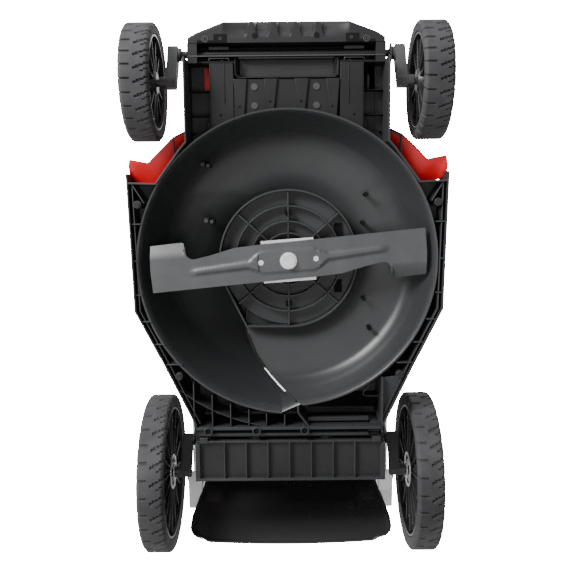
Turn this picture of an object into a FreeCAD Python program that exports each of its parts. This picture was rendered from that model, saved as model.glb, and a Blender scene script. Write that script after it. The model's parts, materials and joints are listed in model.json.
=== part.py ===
import FreeCAD, Part
import math
import os
import re
import Sketcher

# Walk-behind cordless lawn mower, standing on its four wheels.
# Frame: +Z up, +Y to the rear, +X to the side of the height lever; lengths in mm.
# The ground is z = 0.  The handle is folded forward over the deck.

SIZES = {
    # running gear
    "front_wheel_radius": 95, "rear_wheel_radius": 140, "front_axle_y": -362, "rear_axle_y": 322,
    "front_tyre_inner_x": 210.4, "front_tyre_outer_x": 258.7,
    "rear_tyre_inner_x": 209.5, "rear_tyre_outer_x": 255,
    "front_tyre_depth": 17, "rear_tyre_depth": 22, "rim_gap": 0.3,
    "crank_run": 50, "crank_rise": 30, "rod_radius": 6, "running_gap": 0.05,
    "crank_arm_inner_x": 181, "crank_arm_outer_x": 198, "crank_hub_radius": 15, "stub_radius": 6,
    "stub_end_x": 250, "collar_radius": 10.5, "collar_end_x": 208, "link_x": 142, "link_pin_run": 35, "link_pin_rise": 42,
    # deck and cutting chamber
    "wall": 3, "deck_low": 60, "deck_top": 150, "blade_y": -69, "chamber_radius": 248,
    "chamber_low": 66, "nose_half": 165, "nose_front": -398, "tray_low": 112,
    "hub_radius": 117, "hub_low": 100, "hub_top": 121, "hub_bore": 24, "rib": 2.4,
    "chute_half": 130, "chute_front": 60, "chute_rear": 385, "chute_floor": 190,
    "cheek_inner_x": 158, "cheek_outer_x": 170,
    # blade and drive
    "blade_low": 70, "blade_thick": 4, "blade_half": 230, "blade_yaw": -3.9,
    "shaft_radius": 6, "rotor_radius": 24, "stator_inner": 24.8, "stator_outer": 44,
    "motor_radius": 50, "motor_low": 152, "motor_top": 226,
    # battery bay
    "bay_half": 72, "bay_front": -282, "bay_rear": -152, "bay_low": 170, "bay_top": 282,
    # rear flap and door
    "flap_half": 163, "flap_front": 242, "flap_rear": 310, "flap_low": 62, "flap_top": 80,
    "flap_pin_y": 236, "flap_pin_z": 86, "door_pin_y": 373, "door_pin_z": 303,
    # folding handle
    "pivot_y": 415, "pivot_z": 340, "tube_x": 190, "tube_radius": 14, "tube_bore": 12.5,
    "inner_tube_radius": 12.2, "tube_end_y": -145, "grip_bar_y": -345, "grip_radius": 16,
    "bail_pin_y": -235, "bail_radius": 5, "bail_arm": 107, "bail_angle": 34, "bail_x": 168,
}

doc = FreeCAD.newDocument("lawn_mower")
sheet = doc.addObject("Spreadsheet::Sheet", "dims")
for row, (alias, number) in enumerate(SIZES.items(), start=1):
    sheet.set(f"A{row}", alias)
    sheet.set(f"B{row}", str(number))
    sheet.setAlias(f"B{row}", alias)
doc.recompute()

PIECES = []
X_AXIS = FreeCAD.Rotation(FreeCAD.Vector(0, 1, 0), 90)
Y_AXIS = FreeCAD.Rotation(FreeCAD.Vector(1, 0, 0), -90)
TURN = {"x": X_AXIS, "y": Y_AXIS, "z": FreeCAD.Rotation()}
PLANES = {"x": "YZ_Plane", "y": "XZ_Plane", "z": "XY_Plane"}
FUNCTIONS = {"cos", "sin", "tan", "deg"}
counter = [0]


def fresh(word):
    """A document name that no other object has."""
    counter[0] += 1
    return f"{word}_{counter[0]}"


def bound(text):
    """The expression with every size name pointing at the sheet."""
    def point(match):
        word = match.group(0)
        return word if word in FUNCTIONS else "dims." + word
    return re.sub(r"[a-z][a-z_]*", point, str(text))


def value(text):
    """The number that an expression gives now."""
    return float(sheet.evalExpression(bound(text)))


def place(thing, x, y, z, axis="z"):
    thing.Placement = FreeCAD.Placement(FreeCAD.Vector(), TURN[axis])
    for key, text in zip("xyz", (x, y, z)):
        thing.setExpression(f".Placement.Base.{key}", bound(text))
    return thing


def box(x0, x1, y0, y1, z0, z1):
    """A block between two planes on each axis."""
    block = doc.addObject("Part::Box", fresh("block"))
    for name, low, high in (("Length", x0, x1), ("Width", y0, y1), ("Height", z0, z1)):
        block.setExpression(name, bound(f"({high}) - ({low})"))
    return place(block, x0, y0, z0)


def rod(axis, radius, start, end, first, second):
    """A cylinder along an axis, from start to end, at the two other coordinates."""
    bar = doc.addObject("Part::Cylinder", fresh("rod"))
    bar.setExpression("Radius", bound(radius))
    bar.setExpression("Height", bound(f"({end}) - ({start})"))
    spots = {"x": (start, first, second), "y": (first, start, second), "z": (first, second, start)}
    return place(bar, *spots[axis], axis)


def fuse(*things):
    joined = doc.addObject("Part::MultiFuse", fresh("fuse"))
    joined.Shapes = list(things)
    return joined


def cut(base, *tools):
    result = doc.addObject("Part::Cut", fresh("cut"))
    result.Base = base
    result.Tool = tools[0] if len(tools) == 1 else fuse(*tools)
    return result


def ring(axis, outer, inner, start, end, first, second):
    """A tube."""
    return cut(rod(axis, outer, start, end, first, second),
               rod(axis, inner, f"({start}) - 1", f"({end}) + 1", first, second))


def mirrored(thing):
    """The same piece on the other side of the mower."""
    copy = doc.addObject("Part::Mirroring", fresh("mirror"))
    copy.Source = thing
    copy.Normal = FreeCAD.Vector(1, 0, 0)
    copy.Base = FreeCAD.Vector(0, 0, 0)
    return copy


def both(thing):
    return [thing, mirrored(thing)]


def outline(sketch, points):
    """A closed outline whose corners are bound to the sheet."""
    spots = [(value(a), value(b)) for a, b in points]
    count = len(spots)
    for i in range(count):
        start = FreeCAD.Vector(*spots[i], 0)
        end = FreeCAD.Vector(*spots[(i + 1) % count], 0)
        sketch.addGeometry(Part.LineSegment(start, end), False)
    for i in range(count):
        sketch.addConstraint(Sketcher.Constraint("Coincident", i, 2, (i + 1) % count, 1))
    for i, corner in enumerate(points):
        for kind, text, number in zip(("DistanceX", "DistanceY"), corner, spots[i]):
            index = sketch.addConstraint(Sketcher.Constraint(kind, -1, 1, i, 1, number))
            sketch.setExpression(f"Constraints[{index}]", bound(text))


def sketched_body(axis, points):
    """A body with one sketch on the origin plane that faces along an axis."""
    body = doc.addObject("PartDesign::Body", fresh("body"))
    sketch = body.newObject("Sketcher::SketchObject", fresh("sketch"))
    plane = [f for f in body.Origin.OriginFeatures if f.Role == PLANES[axis]][0]
    sketch.AttachmentSupport = [(plane, "")]
    sketch.MapMode = "FlatFace"
    outline(sketch, points)
    return body, sketch


def slab(axis, points, start, end):
    """An outline pushed along an axis from start to end."""
    body, sketch = sketched_body(axis, points)
    offset = start if axis != "y" else f"-({end})"
    sketch.setExpression("AttachmentOffset.Base.z", bound(offset))
    pad = body.newObject("PartDesign::Pad", fresh("pad"))
    pad.Profile = sketch
    pad.setExpression("Length", bound(f"({end}) - ({start})"))
    return body


def turned(points, x, y, z, axis="z"):
    """An outline of (radius, height) corners spun round its height axis, then placed."""
    body, sketch = sketched_body("y", points)
    spin = body.newObject("PartDesign::Revolution", fresh("spin"))
    spin.Profile = sketch
    spin.ReferenceAxis = (sketch, ["V_Axis"])
    spin.Angle = 360
    return place(body, x, y, z, axis)


def mirror_points(points):
    """A right-hand outline with its left-hand half added."""
    return points + [(f"-({a})", b) for a, b in reversed(points)]


def keep(label, *things):
    """Hand in one piece, or several alike ones, under its name."""
    thing = things[0]
    if len(things) > 1:
        thing = doc.addObject("Part::Compound", fresh("group"))
        thing.Links = list(things)
    thing.Label = label
    PIECES.append(thing)
    return thing


# ---------------------------------------------------------------- deck
SIDE = [("nose_half", "nose_front"), ("nose_half", "-283"), ("235", "-228"), ("258", "-210"),
        ("256", "13"), ("208", "108"), ("160", "209"), ("163", "226")]


def inset(points, by):
    """The outline moved inwards by about a wall."""
    inner = [(f"{a} - {by}", b) for a, b in points]
    inner[0] = (inner[0][0], f"{points[0][1]} + {by}")
    inner[-1] = (inner[-1][0], f"{points[-1][1]} - {by}")
    return inner


def make_deck_shell():
    outer = slab("z", mirror_points(SIDE), "deck_low", "deck_top + wall")
    inner = slab("z", mirror_points(inset(SIDE, "wall")), "deck_low - 1", "deck_top")
    chamber_hole = rod("z", "chamber_radius + 0.5", "deck_low - 5", "deck_top + 9", 0, "blade_y")
    chute_hole = box("-chute_half - 0.5", "chute_half + 0.5", "chute_front - 0.5", "223",
                     "deck_top - 1", "deck_top + 9")
    link_slot = box("link_x - 12", "link_x + 7", "-440", "-360", "tray_low - 6", "deck_top + 9")
    tray = slab("z", mirror_points([("126", "-395"), ("126", "-280")]), "tray_low", "tray_low + wall")
    tray_walls = [box(x, f"{x} + wall", "-395", "-240", "tray_low", "deck_top") for x in (-126, 123)]
    cheeks = []
    profile = [("190", "deck_top + wall"), ("378", "deck_top + wall"), ("378", "262"), ("362", "286"),
               ("300", "286"), ("190", "240")]
    for x0, x1 in (("cheek_inner_x", "cheek_outer_x"), ("-cheek_outer_x", "-cheek_inner_x")):
        cheeks.append(slab("x", profile, x0, x1))
        cheeks.append(box(x0, x1, "190", "226", "deck_top", "deck_top + wall"))
    rear_bar = box("-156", "156", "213", "216", "deck_low", "deck_top")
    body = fuse(cut(outer, inner), tray, *tray_walls, *cheeks, rear_bar)
    rear_bore = rod("x", "rod_radius + running_gap", "-180", "180", "rear_axle_y - crank_run",
                    "rear_wheel_radius + crank_rise")
    front_bore = rod("x", "rod_radius + 0.6", "-180", "180", "front_axle_y - crank_run",
                     "front_wheel_radius + crank_rise")
    tabs = [box(x, f"{x} + 8", "-425", "-396", "104", "147") for x in (-165, 157)]
    body = fuse(body, *tabs)
    keep("deck_shell", cut(body, chamber_hole, chute_hole, link_slot, rear_bore, front_bore))


def make_cutting_chamber():
    barrel = ring("z", "chamber_radius", "chamber_radius - wall", "chamber_low", "deck_top",
                  0, "blade_y")
    lid = ring("z", "chamber_radius", 40, "deck_top - wall", "deck_top", 0, "blade_y")
    mouth = slab("z", [("-146", "64"), ("-146", "110"), ("-120", "141"), ("-78", "162"), ("0", "172"),
                       ("20", "172"), ("-30", "64")], "deck_top - 10", "deck_top + 5")
    keep("cutting_chamber", cut(fuse(barrel, lid), mouth))


def make_hub_plate():
    plate = ring("z", "hub_radius", "hub_bore", "hub_top - wall", "hub_top", 0, "blade_y")
    wall_ring = ring("z", "hub_radius", "hub_radius - wall", "hub_low", "deck_top - wall",
                     0, "blade_y")
    rings = [ring("z", radius, f"{radius} - rib", "hub_low + 2", "hub_top", 0, "blade_y")
             for radius in (44, 64, 90)]
    spokes = []
    for angle in (0, 45, 135, 180, 225, 315):
        spoke = box("30", "hub_radius - 1", "-rib / 2", "rib / 2", "hub_low + 2", "hub_top")
        turn = FreeCAD.Rotation(FreeCAD.Vector(0, 0, 1), angle + 90)
        spoke_place = FreeCAD.Placement(FreeCAD.Vector(0, value("blade_y"), 0), turn)
        holder = doc.addObject("Part::Compound", fresh("spoke"))
        holder.Links = [place(spoke, "30", "-rib / 2", "hub_low + 2")]
        holder.Placement = spoke_place
        spokes.append(holder)
    slots = [box("78", "90", f"blade_y + {y}", f"blade_y + {y + 22}", "hub_top - 5", "hub_top + 1")
             for y in (-62, 38)]
    keep("hub_plate", cut(fuse(plate, wall_ring, *rings, *spokes), *slots))


def make_front_bumper():
    corner = [("104", "-462"), ("150", "-443"), ("163", "-436"), ("163", "-427")]
    outer = slab("z", mirror_points(corner), "98", "150")
    inner_corner = [("102", "-458"), ("148", "-440"), ("157", "-434"), ("157", "-430")]
    inner = slab("z", mirror_points(inner_corner), "112", "146")
    keep("front_bumper", cut(outer, inner))


def make_axle_clamps():
    clamps = []
    for x0, x1 in ((-130, -96), (96, 130)):
        y, z = "front_axle_y - crank_run", "front_wheel_radius + crank_rise"
        block = box(x0, x1, f"{y} - 13", f"{y} + 13", f"{z} - 10", f"{z} + 22")
        bore = rod("x", "rod_radius + running_gap", f"{x0} - 1", f"{x1} + 1", y, z)
        clamps.append(cut(block, bore))
    keep("axle_clamps", *clamps)


def make_discharge_chute():
    outer = slab("x", [("chute_front", "deck_top + 0.2"), ("chute_front", "226"), ("120", "256"),
                       ("360", "286"), ("chute_rear - 18", "286"), ("chute_rear - 6", "chute_floor"),
                       ("232", "chute_floor"), ("222", "deck_top + 0.2")], "-chute_half", "chute_half")
    inner = slab("x", [("chute_front + 3", "100"), ("chute_front + 3", "224"), ("121", "253"),
                       ("360", "283"), ("chute_rear + 40", "283"), ("chute_rear + 40", "chute_floor + 3"),
                       ("230", "chute_floor + 3"), ("219", "100")],
                 "-chute_half + 3", "chute_half - 3")
    posts = [cut(box(x, f"{x} + 8", "door_pin_y - 12", "door_pin_y + 2.4", "285", "door_pin_z + 5"),
                 rod("x", 3.02, "-170", "170", "door_pin_y", "door_pin_z")) for x in (-130, 122)]
    keep("discharge_chute", fuse(cut(outer, inner), *posts))


# ---------------------------------------------------------------- hood and battery
HOOD_LEVELS = [
    ("deck_top + wall + 1", [("95", "-448"), ("158", "-437"), ("163", "-284"), ("236", "-232"),
                             ("263", "-215"), ("258", "15"), ("205", "108"), ("166", "186")]),
    ("222", [("88", "-438"), ("146", "-429"), ("152", "-275"), ("198", "-215"),
             ("214", "-180"), ("205", "10"), ("178", "95"), ("163", "180")]),
    ("300", [("62", "-303"), ("88", "-297"), ("96", "-230"), ("102", "-160"),
             ("106", "-110"), ("106", "0"), ("100", "40"), ("90", "60")]),
]


def loft(shrink, drop):
    """The hood's outer form, or its hollow when shrunk and dropped."""
    sections = []
    for height, points in HOOD_LEVELS:
        sketch = doc.addObject("Sketcher::SketchObject", fresh("level"))
        half = [(f"{a} - {shrink}", f"{b} + {shrink} * {1 if float(b) < -100 else -1}")
                for a, b in points]
        outline(sketch, mirror_points(half))
        place(sketch, 0, 0, f"{height} - {drop}")
        sections.append(sketch)
    form = doc.addObject("Part::Loft", fresh("loft"))
    form.Sections = sections
    form.Solid = True
    form.Ruled = True
    return form


def make_hood_cover():
    shell = cut(loft(0, 0), loft(4, 4), box("-300", "300", "-500", "300", "100", "deck_top + wall + 0.9"))
    opening = box("-bay_half - 6", "bay_half + 6", "bay_front - 6", "bay_rear + 11", "230", "310")
    chute_space = box("-chute_half - 1", "chute_half + 1", "chute_front - 1", "300", "100", "292")
    link_exit = box("link_x - 6", "link_x + 5", "140", "220", "180", "236")
    shoulder = slab("z", [("168", "-281.8"), ("186", "-272.5"), ("236", "-234"), ("265", "-238"),
                          ("263.5", "-196"), ("259", "-196"), ("259", "-210.5"), ("236", "-229.5")],
                    "80", "deck_top + wall + 1.5")
    keep("hood_cover", cut(fuse(shell, *both(shoulder)), opening, chute_space, link_exit))


def make_motor():
    wall_ring = ring("z", "motor_radius", "motor_radius - 4", "motor_low + 4", "motor_top - 4", 0, "blade_y")
    ends = [ring("z", "motor_radius", 14.1, "motor_low", "motor_low + 4", 0, "blade_y"),
            ring("z", "motor_radius", 14.1, "motor_top - 4", "motor_top", 0, "blade_y")]
    flange = ring("z", 66, "motor_radius - 1", "motor_low", "motor_low + 4", 0, "blade_y")
    keep("motor_housing", fuse(wall_ring, *ends, flange))
    keep("motor_stator", ring("z", "stator_outer", "stator_inner", "motor_low + 16", "motor_top - 16",
                              0, "blade_y"))
    bearings = [ring("z", 14, "shaft_radius + running_gap", z, f"{z} + 8", 0, "blade_y")
                for z in ("motor_low - 2", "motor_top - 6")]
    keep("motor_bearings", *bearings)
    keep("motor_rotor", ring("z", "rotor_radius", "shaft_radius", "motor_low + 14", "motor_top - 14",
                             0, "blade_y"))
    keep("motor_shaft", rod("z", "shaft_radius", "blade_low + blade_thick + 28", "motor_top + 6",
                            0, "blade_y"))


def make_blade_set():
    top = "blade_low + blade_thick"
    boss = fuse(rod("z", 18, f"{top} + 3", f"{top} + 28", 0, "blade_y"),
                rod("z", 34, f"{top} + 3", f"{top} + 8", 0, "blade_y"))
    keep("blade_adapter", cut(boss, rod("z", 5.2, f"{top} + 2", f"{top} + 22", 0, "blade_y")))
    tip = [("-blade_half", "41"), ("-blade_half", "-41"), ("-178", "-41"), ("-170", "-33"), ("-168", "-20"), ("-158", "-14"),
           ("-80", "-24"), ("0", "-31")]
    opposite = [(f"-({a})", f"-({b})") for a, b in tip]
    blade = slab("z", tip + opposite, "blade_low", top)
    holes = [rod("z", radius, "blade_low - 1", f"{top} + 1", x, 0)
             for x, radius in ((-46, 4.7), (0, 5.2), (46, 4.7))]
    plate = cut(box("-44", "44", "-35.5", "35.5", top, f"{top} + 3"),
                rod("z", 5.2, f"{top} - 1", f"{top} + 4", 0, 0),
                *[rod("z", 4.7, f"{top} - 1", f"{top} + 4", x, 0) for x in (-46, 46)])
    pins = [rod("z", 4.5, "blade_low - 2", f"{top} + 2.9", x, 0) for x in (-46, 46)]
    turn = FreeCAD.Rotation(FreeCAD.Vector(0, 0, 1), value("blade_yaw"))
    seat = FreeCAD.Placement(FreeCAD.Vector(0, value("blade_y"), 0), turn)
    for piece in (keep("blade", cut(blade, *holes)), keep("blade_plate", plate), keep("drive_pins", *pins)):
        piece.Placement = seat
    bolt = fuse(rod("z", 5, "blade_low - 3", f"{top} + 21", 0, "blade_y"),
                rod("z", 10.5, "blade_low - 9", "blade_low - 3", 0, "blade_y"),
                rod("z", 14, "blade_low - 3", "blade_low - 0.3", 0, "blade_y"))
    keep("blade_bolt", bolt)


def make_battery_bay():
    outer = box("-bay_half", "bay_half", "bay_front", "bay_rear", "bay_low", "bay_top")
    inner = box("-bay_half + 3", "bay_half - 3", "bay_front + 3", "bay_rear - 3", "bay_low + 3",
                "bay_top + 1")
    keep("battery_bay", cut(outer, inner))
    pack = box("-52", "52", "bay_front + 8", "bay_rear - 30", "bay_low + 3.5", "bay_top - 20")
    ridge = box("-30", "30", "bay_front + 30", "bay_rear - 60", "bay_top - 20", "bay_top - 14")
    keep("battery_pack", fuse(pack, ridge))
    keep("battery_latch", box("-20", "20", "bay_rear - 29", "bay_rear - 20", "bay_top - 44", "bay_top - 20"))
    key = fuse(box("58", "64", "-230", "-200", "bay_top - 50", "bay_top - 24"),
               box("54.5", "67", "-224", "-206", "bay_top - 24", "bay_top - 20"))
    keep("safety_key", key)
    keep("controller_board", box("-60", "60", "-30", "40", "232", "240"))
    lid_plate = slab("x", [("bay_front - 3", "290"), ("bay_front - 1", "304"), ("bay_rear - 4", "308"),
                           ("bay_rear + 4", "304"), ("bay_rear + 4", "294"), ("bay_rear - 4", "301"),
                           ("bay_front + 4", "298"), ("bay_front + 1", "290")],
                     "-bay_half - 4", "bay_half + 4")
    pin = rod("x", 3, "-bay_half - 4", "bay_half + 4", "bay_rear + 6", "300")
    keep("battery_lid", fuse(lid_plate, pin))


# ---------------------------------------------------------------- height adjustment
def crank(axle_y, axle_z):
    """A through rod with an arm and a stub axle at each end, and one lever for the link."""
    rod_y, rod_z = f"({axle_y} - crank_run)", f"({axle_z} + crank_rise)"
    span = rod("x", "rod_radius", "-crank_arm_outer_x", "crank_arm_outer_x", rod_y, rod_z)
    arm = slab("x", [(f"{rod_y} - 14", f"{rod_z} - 6"), (f"{rod_y} - 8", f"{rod_z} + 10"),
                     (f"{rod_y} + 6", f"{rod_z} + 12"), (f"{axle_y} + 11", f"{axle_z} + 5"),
                     (f"{axle_y} + 8", f"{axle_z} - 8"), (f"{axle_y} - 4", f"{axle_z} - 11")],
               "crank_arm_inner_x", "crank_arm_outer_x")
    collar = rod("x", "collar_radius", "crank_arm_outer_x - 1", "collar_end_x", axle_y, axle_z)
    stub = rod("x", "stub_radius", "crank_arm_outer_x - 1", "stub_end_x", axle_y, axle_z)
    hub = rod("x", "crank_hub_radius - 4", "cheek_outer_x + 6", "crank_arm_inner_x + 1", rod_y, rod_z)
    pin_y, pin_z = f"{rod_y} + link_pin_run", f"{rod_z} + link_pin_rise"
    link_lever = slab("x", [(f"{rod_y} - 8", f"{rod_z} + 4"), (f"{rod_y} + 6", f"{rod_z} - 8"),
                            (f"{pin_y} + 7", f"{pin_z} - 4"), (f"{pin_y} + 2", f"{pin_z} + 7"),
                            (f"{pin_y} - 6", f"{pin_z} + 5")], "link_x - 8", "link_x - 4")
    pin = rod("x", 3, "link_x - 5", "link_x + 3", pin_y, pin_z)
    return fuse(span, *both(fuse(arm, collar, stub, hub)), link_lever, pin)


def make_height_gear():
    keep("front_crank", crank("front_axle_y", "front_wheel_radius"))
    keep("rear_crank", crank("rear_axle_y", "rear_wheel_radius"))
    front_y = "(front_axle_y - crank_run + link_pin_run)"
    front_z = "(front_wheel_radius + crank_rise + link_pin_rise)"
    rear_y = "(rear_axle_y - crank_run + link_pin_run)"
    rear_z = "(rear_wheel_radius + crank_rise + link_pin_rise)"
    bar = slab("x", [(f"{front_y} - 6", f"{front_z} - 6"), (f"{front_y} - 6", f"{front_z} + 6"),
                     (f"{rear_y} + 8", f"{rear_z} + 7"), (f"{rear_y} + 8", f"{rear_z} - 7")],
               "link_x - 2", "link_x + 1")
    holes = [rod("x", 3.05, "link_x - 3", "link_x + 3", front_y, front_z),
             rod("x", 3.6, "link_x - 3", "link_x + 3", rear_y, rear_z)]
    keep("link_rod", cut(bar, *holes))
    rod_y, rod_z = "front_axle_y - crank_run", "front_wheel_radius + crank_rise"
    lever = slab("x", [(f"{rod_y} - 14", f"{rod_z} - 12"), (f"{rod_y} + 14", f"{rod_z} - 10"),
                       (f"{rod_y} + 84", f"{rod_z} + 150"), (f"{rod_y} + 70", f"{rod_z} + 156")],
                 "cheek_outer_x + 1.5", "cheek_outer_x + 5.5")
    keep("height_lever", cut(lever, rod("x", "rod_radius + 0.02", "160", "190", rod_y, rod_z)))
    knob = turned([("0", "-16"), ("9", "-16"), ("13", "-8"), ("13", "9"), ("8", "15"), ("0", "15")],
                  "cheek_outer_x + 11", f"{rod_y} + 77", f"{rod_z} + 168")
    slot = box("cheek_outer_x + 1.4", "cheek_outer_x + 5.6", f"{rod_y} + 60", f"{rod_y} + 100",
               f"{rod_z} + 140", f"{rod_z} + 158")
    keep("lever_knob", cut(knob, slot))
    plate = slab("x", [("-455", "155"), ("-455", "195"), ("-420", "215"), ("-370", "205"), ("-345", "190"),
                       ("-345", "155")], "nose_half + 2", "nose_half + 5")
    keep("height_quadrant", plate)


# ---------------------------------------------------------------- wheels
def make_wheel(end, radius, depth, inner, outer, axle_y):
    """Tyre, rim and hub cap of one end's right-hand wheel, and their mirror images."""
    bead = f"{radius} - {depth}"
    shoulder = 6
    tyre = turned([(bead, f"{inner} + 2"), (f"{radius} - {shoulder}", inner), (radius, f"{inner} + 5"),
                   (radius, f"{outer} - 5"), (f"{radius} - {shoulder}", outer), (bead, f"{outer} - 2")],
                  0, axle_y, radius, "x")
    face = f"{bead} - rim_gap"
    rim = turned([("stub_radius + running_gap", f"{inner} + 3"), ("24", f"{inner} + 3"),
                  ("26", "231"), (f"{face} - 6", "231"), (f"{face} - 5", f"{inner} + 2.5"),
                  (face, f"{inner} + 2.5"), (face, f"{outer} - 2.5"), (f"{face} - 5", f"{outer} - 2.5"),
                  (f"{face} - 6", "236"), ("26", "236"), ("24", "247"),
                  ("stub_radius + running_gap", "247")], 0, axle_y, radius, "x")
    cap = turned([("12", "247"), ("24", "247"), ("26", "249"), ("26", f"{outer} - 4"), ("20", f"{outer} - 1.5"),
                  ("0", f"{outer} - 1.5"), ("0", f"{outer} - 4"), ("12", f"{outer} - 4")],
                 0, axle_y, radius, "x")
    for name, thing in (("tyre", tyre), ("rim", rim), ("hub_cap", cap)):
        keep(f"{end}_right_{name}", thing)
        keep(f"{end}_left_{name}", mirrored(thing))


# ---------------------------------------------------------------- rear flap and door
def make_rear_flap():
    panel = box("-flap_half", "flap_half", "flap_front", "flap_rear", "flap_top - wall", "flap_top")
    frame = cut(box("-flap_half", "flap_half", "flap_front", "flap_rear", "flap_low", "flap_top"),
                box("-flap_half + wall", "flap_half - wall", "flap_front + wall", "flap_rear - wall",
                    "flap_low - 1", "flap_top + 1"))
    pitch = "flap_half / 4"
    ribs = [box(f"{pitch} * {i} - 1.2", f"{pitch} * {i} + 1.2", "flap_front", "flap_rear",
                "flap_low + 2", "flap_top") for i in range(-3, 4)]
    lugs = []
    for x in (-150, -60, 48, 138):
        ear = slab("x", [("flap_pin_y - 4.5", "flap_pin_z + 5"), ("flap_pin_y - 4.5", "flap_pin_z - 6"),
                         ("flap_front + 1", "flap_low + 6"), ("flap_front + 4", "flap_top"),
                         ("flap_pin_y + 5", "flap_pin_z + 6")], x, f"{x} + 12")
        lugs.append(ear)
    bore = rod("x", 3.05, "-170", "170", "flap_pin_y", "flap_pin_z")
    keep("rear_flap", cut(fuse(panel, frame, *ribs, *lugs), bore))
    hangers = [box(x, f"{x} + 6", "226.1", "flap_pin_y + 5", "flap_pin_z - 5", "flap_pin_z + 40")
               for x in (-163, -72, 66, 157)]
    keep("flap_rod", fuse(rod("x", 3, "-163", "163", "flap_pin_y", "flap_pin_z"), *hangers))


def door_plate(offset, half_top, half_low):
    """A curved, flared panel that hangs from its pin: four ruled strips."""
    stations = [("door_pin_y + 7", "door_pin_z - 6", half_top), ("393", "250", f"{half_top} + 3"),
                ("405", "215", f"{half_top} + 9"), ("428", "168", f"{half_low} - 4"),
                ("458", "132", half_low)]
    strips = []
    for (y0, z0, w0), (y1, z1, w1) in zip(stations, stations[1:]):
        half_width = f"({w0} + {w1}) / 2"
        strips.append(slab("x", [(y0, z0), (y1, z1), (f"{y1} - {offset}", f"{z1} - 2"),
                                 (f"{y0} - {offset}", f"{z0} - 2")], f"-({half_width})", half_width))
    return fuse(*strips)


def make_rear_door():
    knuckles = [ring("x", 6, 3.05, x, f"{x} + 24", "door_pin_y", "door_pin_z") for x in (-116, -12, 92)]
    webs = [box(x, f"{x} + 24", "door_pin_y + 3.5", "door_pin_y + 8", "door_pin_z - 9", "door_pin_z")
            for x in (-116, -12, 92)]
    keep("rear_door", fuse(door_plate("3.5", "158", "188"), *knuckles, *webs))
    keep("door_rod", rod("x", 3, "-130", "130", "door_pin_y", "door_pin_z"))
    keep("door_springs", *[ring("x", 5.2, 3.6, x, f"{x} + 40", "door_pin_y", "door_pin_z")
                           for x in (-80, 40)])


# ---------------------------------------------------------------- handle
def make_handle():
    plate = slab("x", [("300", "200"), ("366", "200"), ("372", "262"), ("430", "326"), ("430", "356"),
                       ("400", "356"), ("340", "286"), ("300", "270")],
                 "cheek_outer_x + 0.1", "cheek_outer_x + 4.5")
    bolt = rod("x", 4, "cheek_outer_x + 4", "tube_x + tube_radius + 4", "pivot_y", "pivot_z")
    keep("handle_brackets", *both(fuse(plate, bolt)))
    tube = cut(rod("y", "tube_radius", "tube_end_y", "pivot_y + tube_radius", "tube_x", "pivot_z"),
               rod("y", "tube_bore", "tube_end_y - 1", "pivot_y - 16", "tube_x", "pivot_z"),
               rod("x", 4.05, "150", "240", "pivot_y", "pivot_z"))
    keep("lower_tubes", *both(tube))
    keep("handle_brace", rod("x", 7, "-(tube_x - tube_radius)", "tube_x - tube_radius", -90, "pivot_z"))
    collar = cut(box("tube_x - 18", "tube_x + 18", "tube_end_y - 24", "tube_end_y - 0.2",
                     "pivot_z - 18", "pivot_z + 18"),
                 rod("y", "inner_tube_radius + 0.3", "tube_end_y - 30", "tube_end_y + 10", "tube_x", "pivot_z"))
    keep("tube_collars", *both(collar))
    corner = 26
    leg = rod("y", "inner_tube_radius", f"grip_bar_y + {corner}", "pivot_y - 60", "tube_x", "pivot_z")
    elbow = doc.addObject("Part::Torus", fresh("elbow"))
    elbow.Radius1 = corner
    elbow.setExpression("Radius2", bound("inner_tube_radius"))
    elbow.Angle3 = 90
    elbow.Placement = FreeCAD.Placement(
        FreeCAD.Vector(value("tube_x") - corner, value("grip_bar_y") + corner, value("pivot_z")),
        FreeCAD.Rotation(FreeCAD.Vector(0, 0, 1), -90))
    bail_pin = rod("x", 3, "bail_x - 6", "tube_x", "bail_pin_y", "pivot_z")
    half = fuse(leg, elbow, bail_pin, rod("x", "inner_tube_radius", 0, f"tube_x - {corner}", "grip_bar_y", "pivot_z"))
    keep("upper_handle", fuse(half, mirrored(half)))
    grip = ring("x", "grip_radius", "inner_tube_radius + 0.1", 52, 150, "grip_bar_y", "pivot_z")
    keep("hand_grips", *both(grip))
    case = cut(box("-48", "48", "grip_bar_y - 26", "grip_bar_y + 40", "300", "354.5"),
               rod("x", "inner_tube_radius + 0.1", "-60", "60", "grip_bar_y", "pivot_z"),
               rod("z", 13, "299", "308", 0, "grip_bar_y + 20"))
    keep("switch_box", case)
    keep("start_button", rod("z", 12, "295.8", "303", 0, "grip_bar_y + 20"))
    run, rise = "bail_arm * cos(bail_angle * 1deg)", "bail_arm * sin(bail_angle * 1deg)"
    bail_bar = rod("x", "bail_radius", "-bail_x", "bail_x", f"bail_pin_y - {run}", f"pivot_z + {rise}")
    arm = slab("x", [("bail_pin_y + 6", "pivot_z - 5"), ("bail_pin_y + 6", "pivot_z + 6"),
                     (f"bail_pin_y - {run} + 3", f"pivot_z + {rise} + 4.5"),
                     (f"bail_pin_y - {run} - 3", f"pivot_z + {rise} - 4.5"), ("bail_pin_y - 4", "pivot_z - 5")],
               "bail_x - 4", "bail_x + 1")
    bore = rod("x", 3.05, "bail_x - 10", "bail_x + 9", "bail_pin_y", "pivot_z")
    keep("bail_lever", fuse(bail_bar, *both(cut(arm, bore))))


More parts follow.
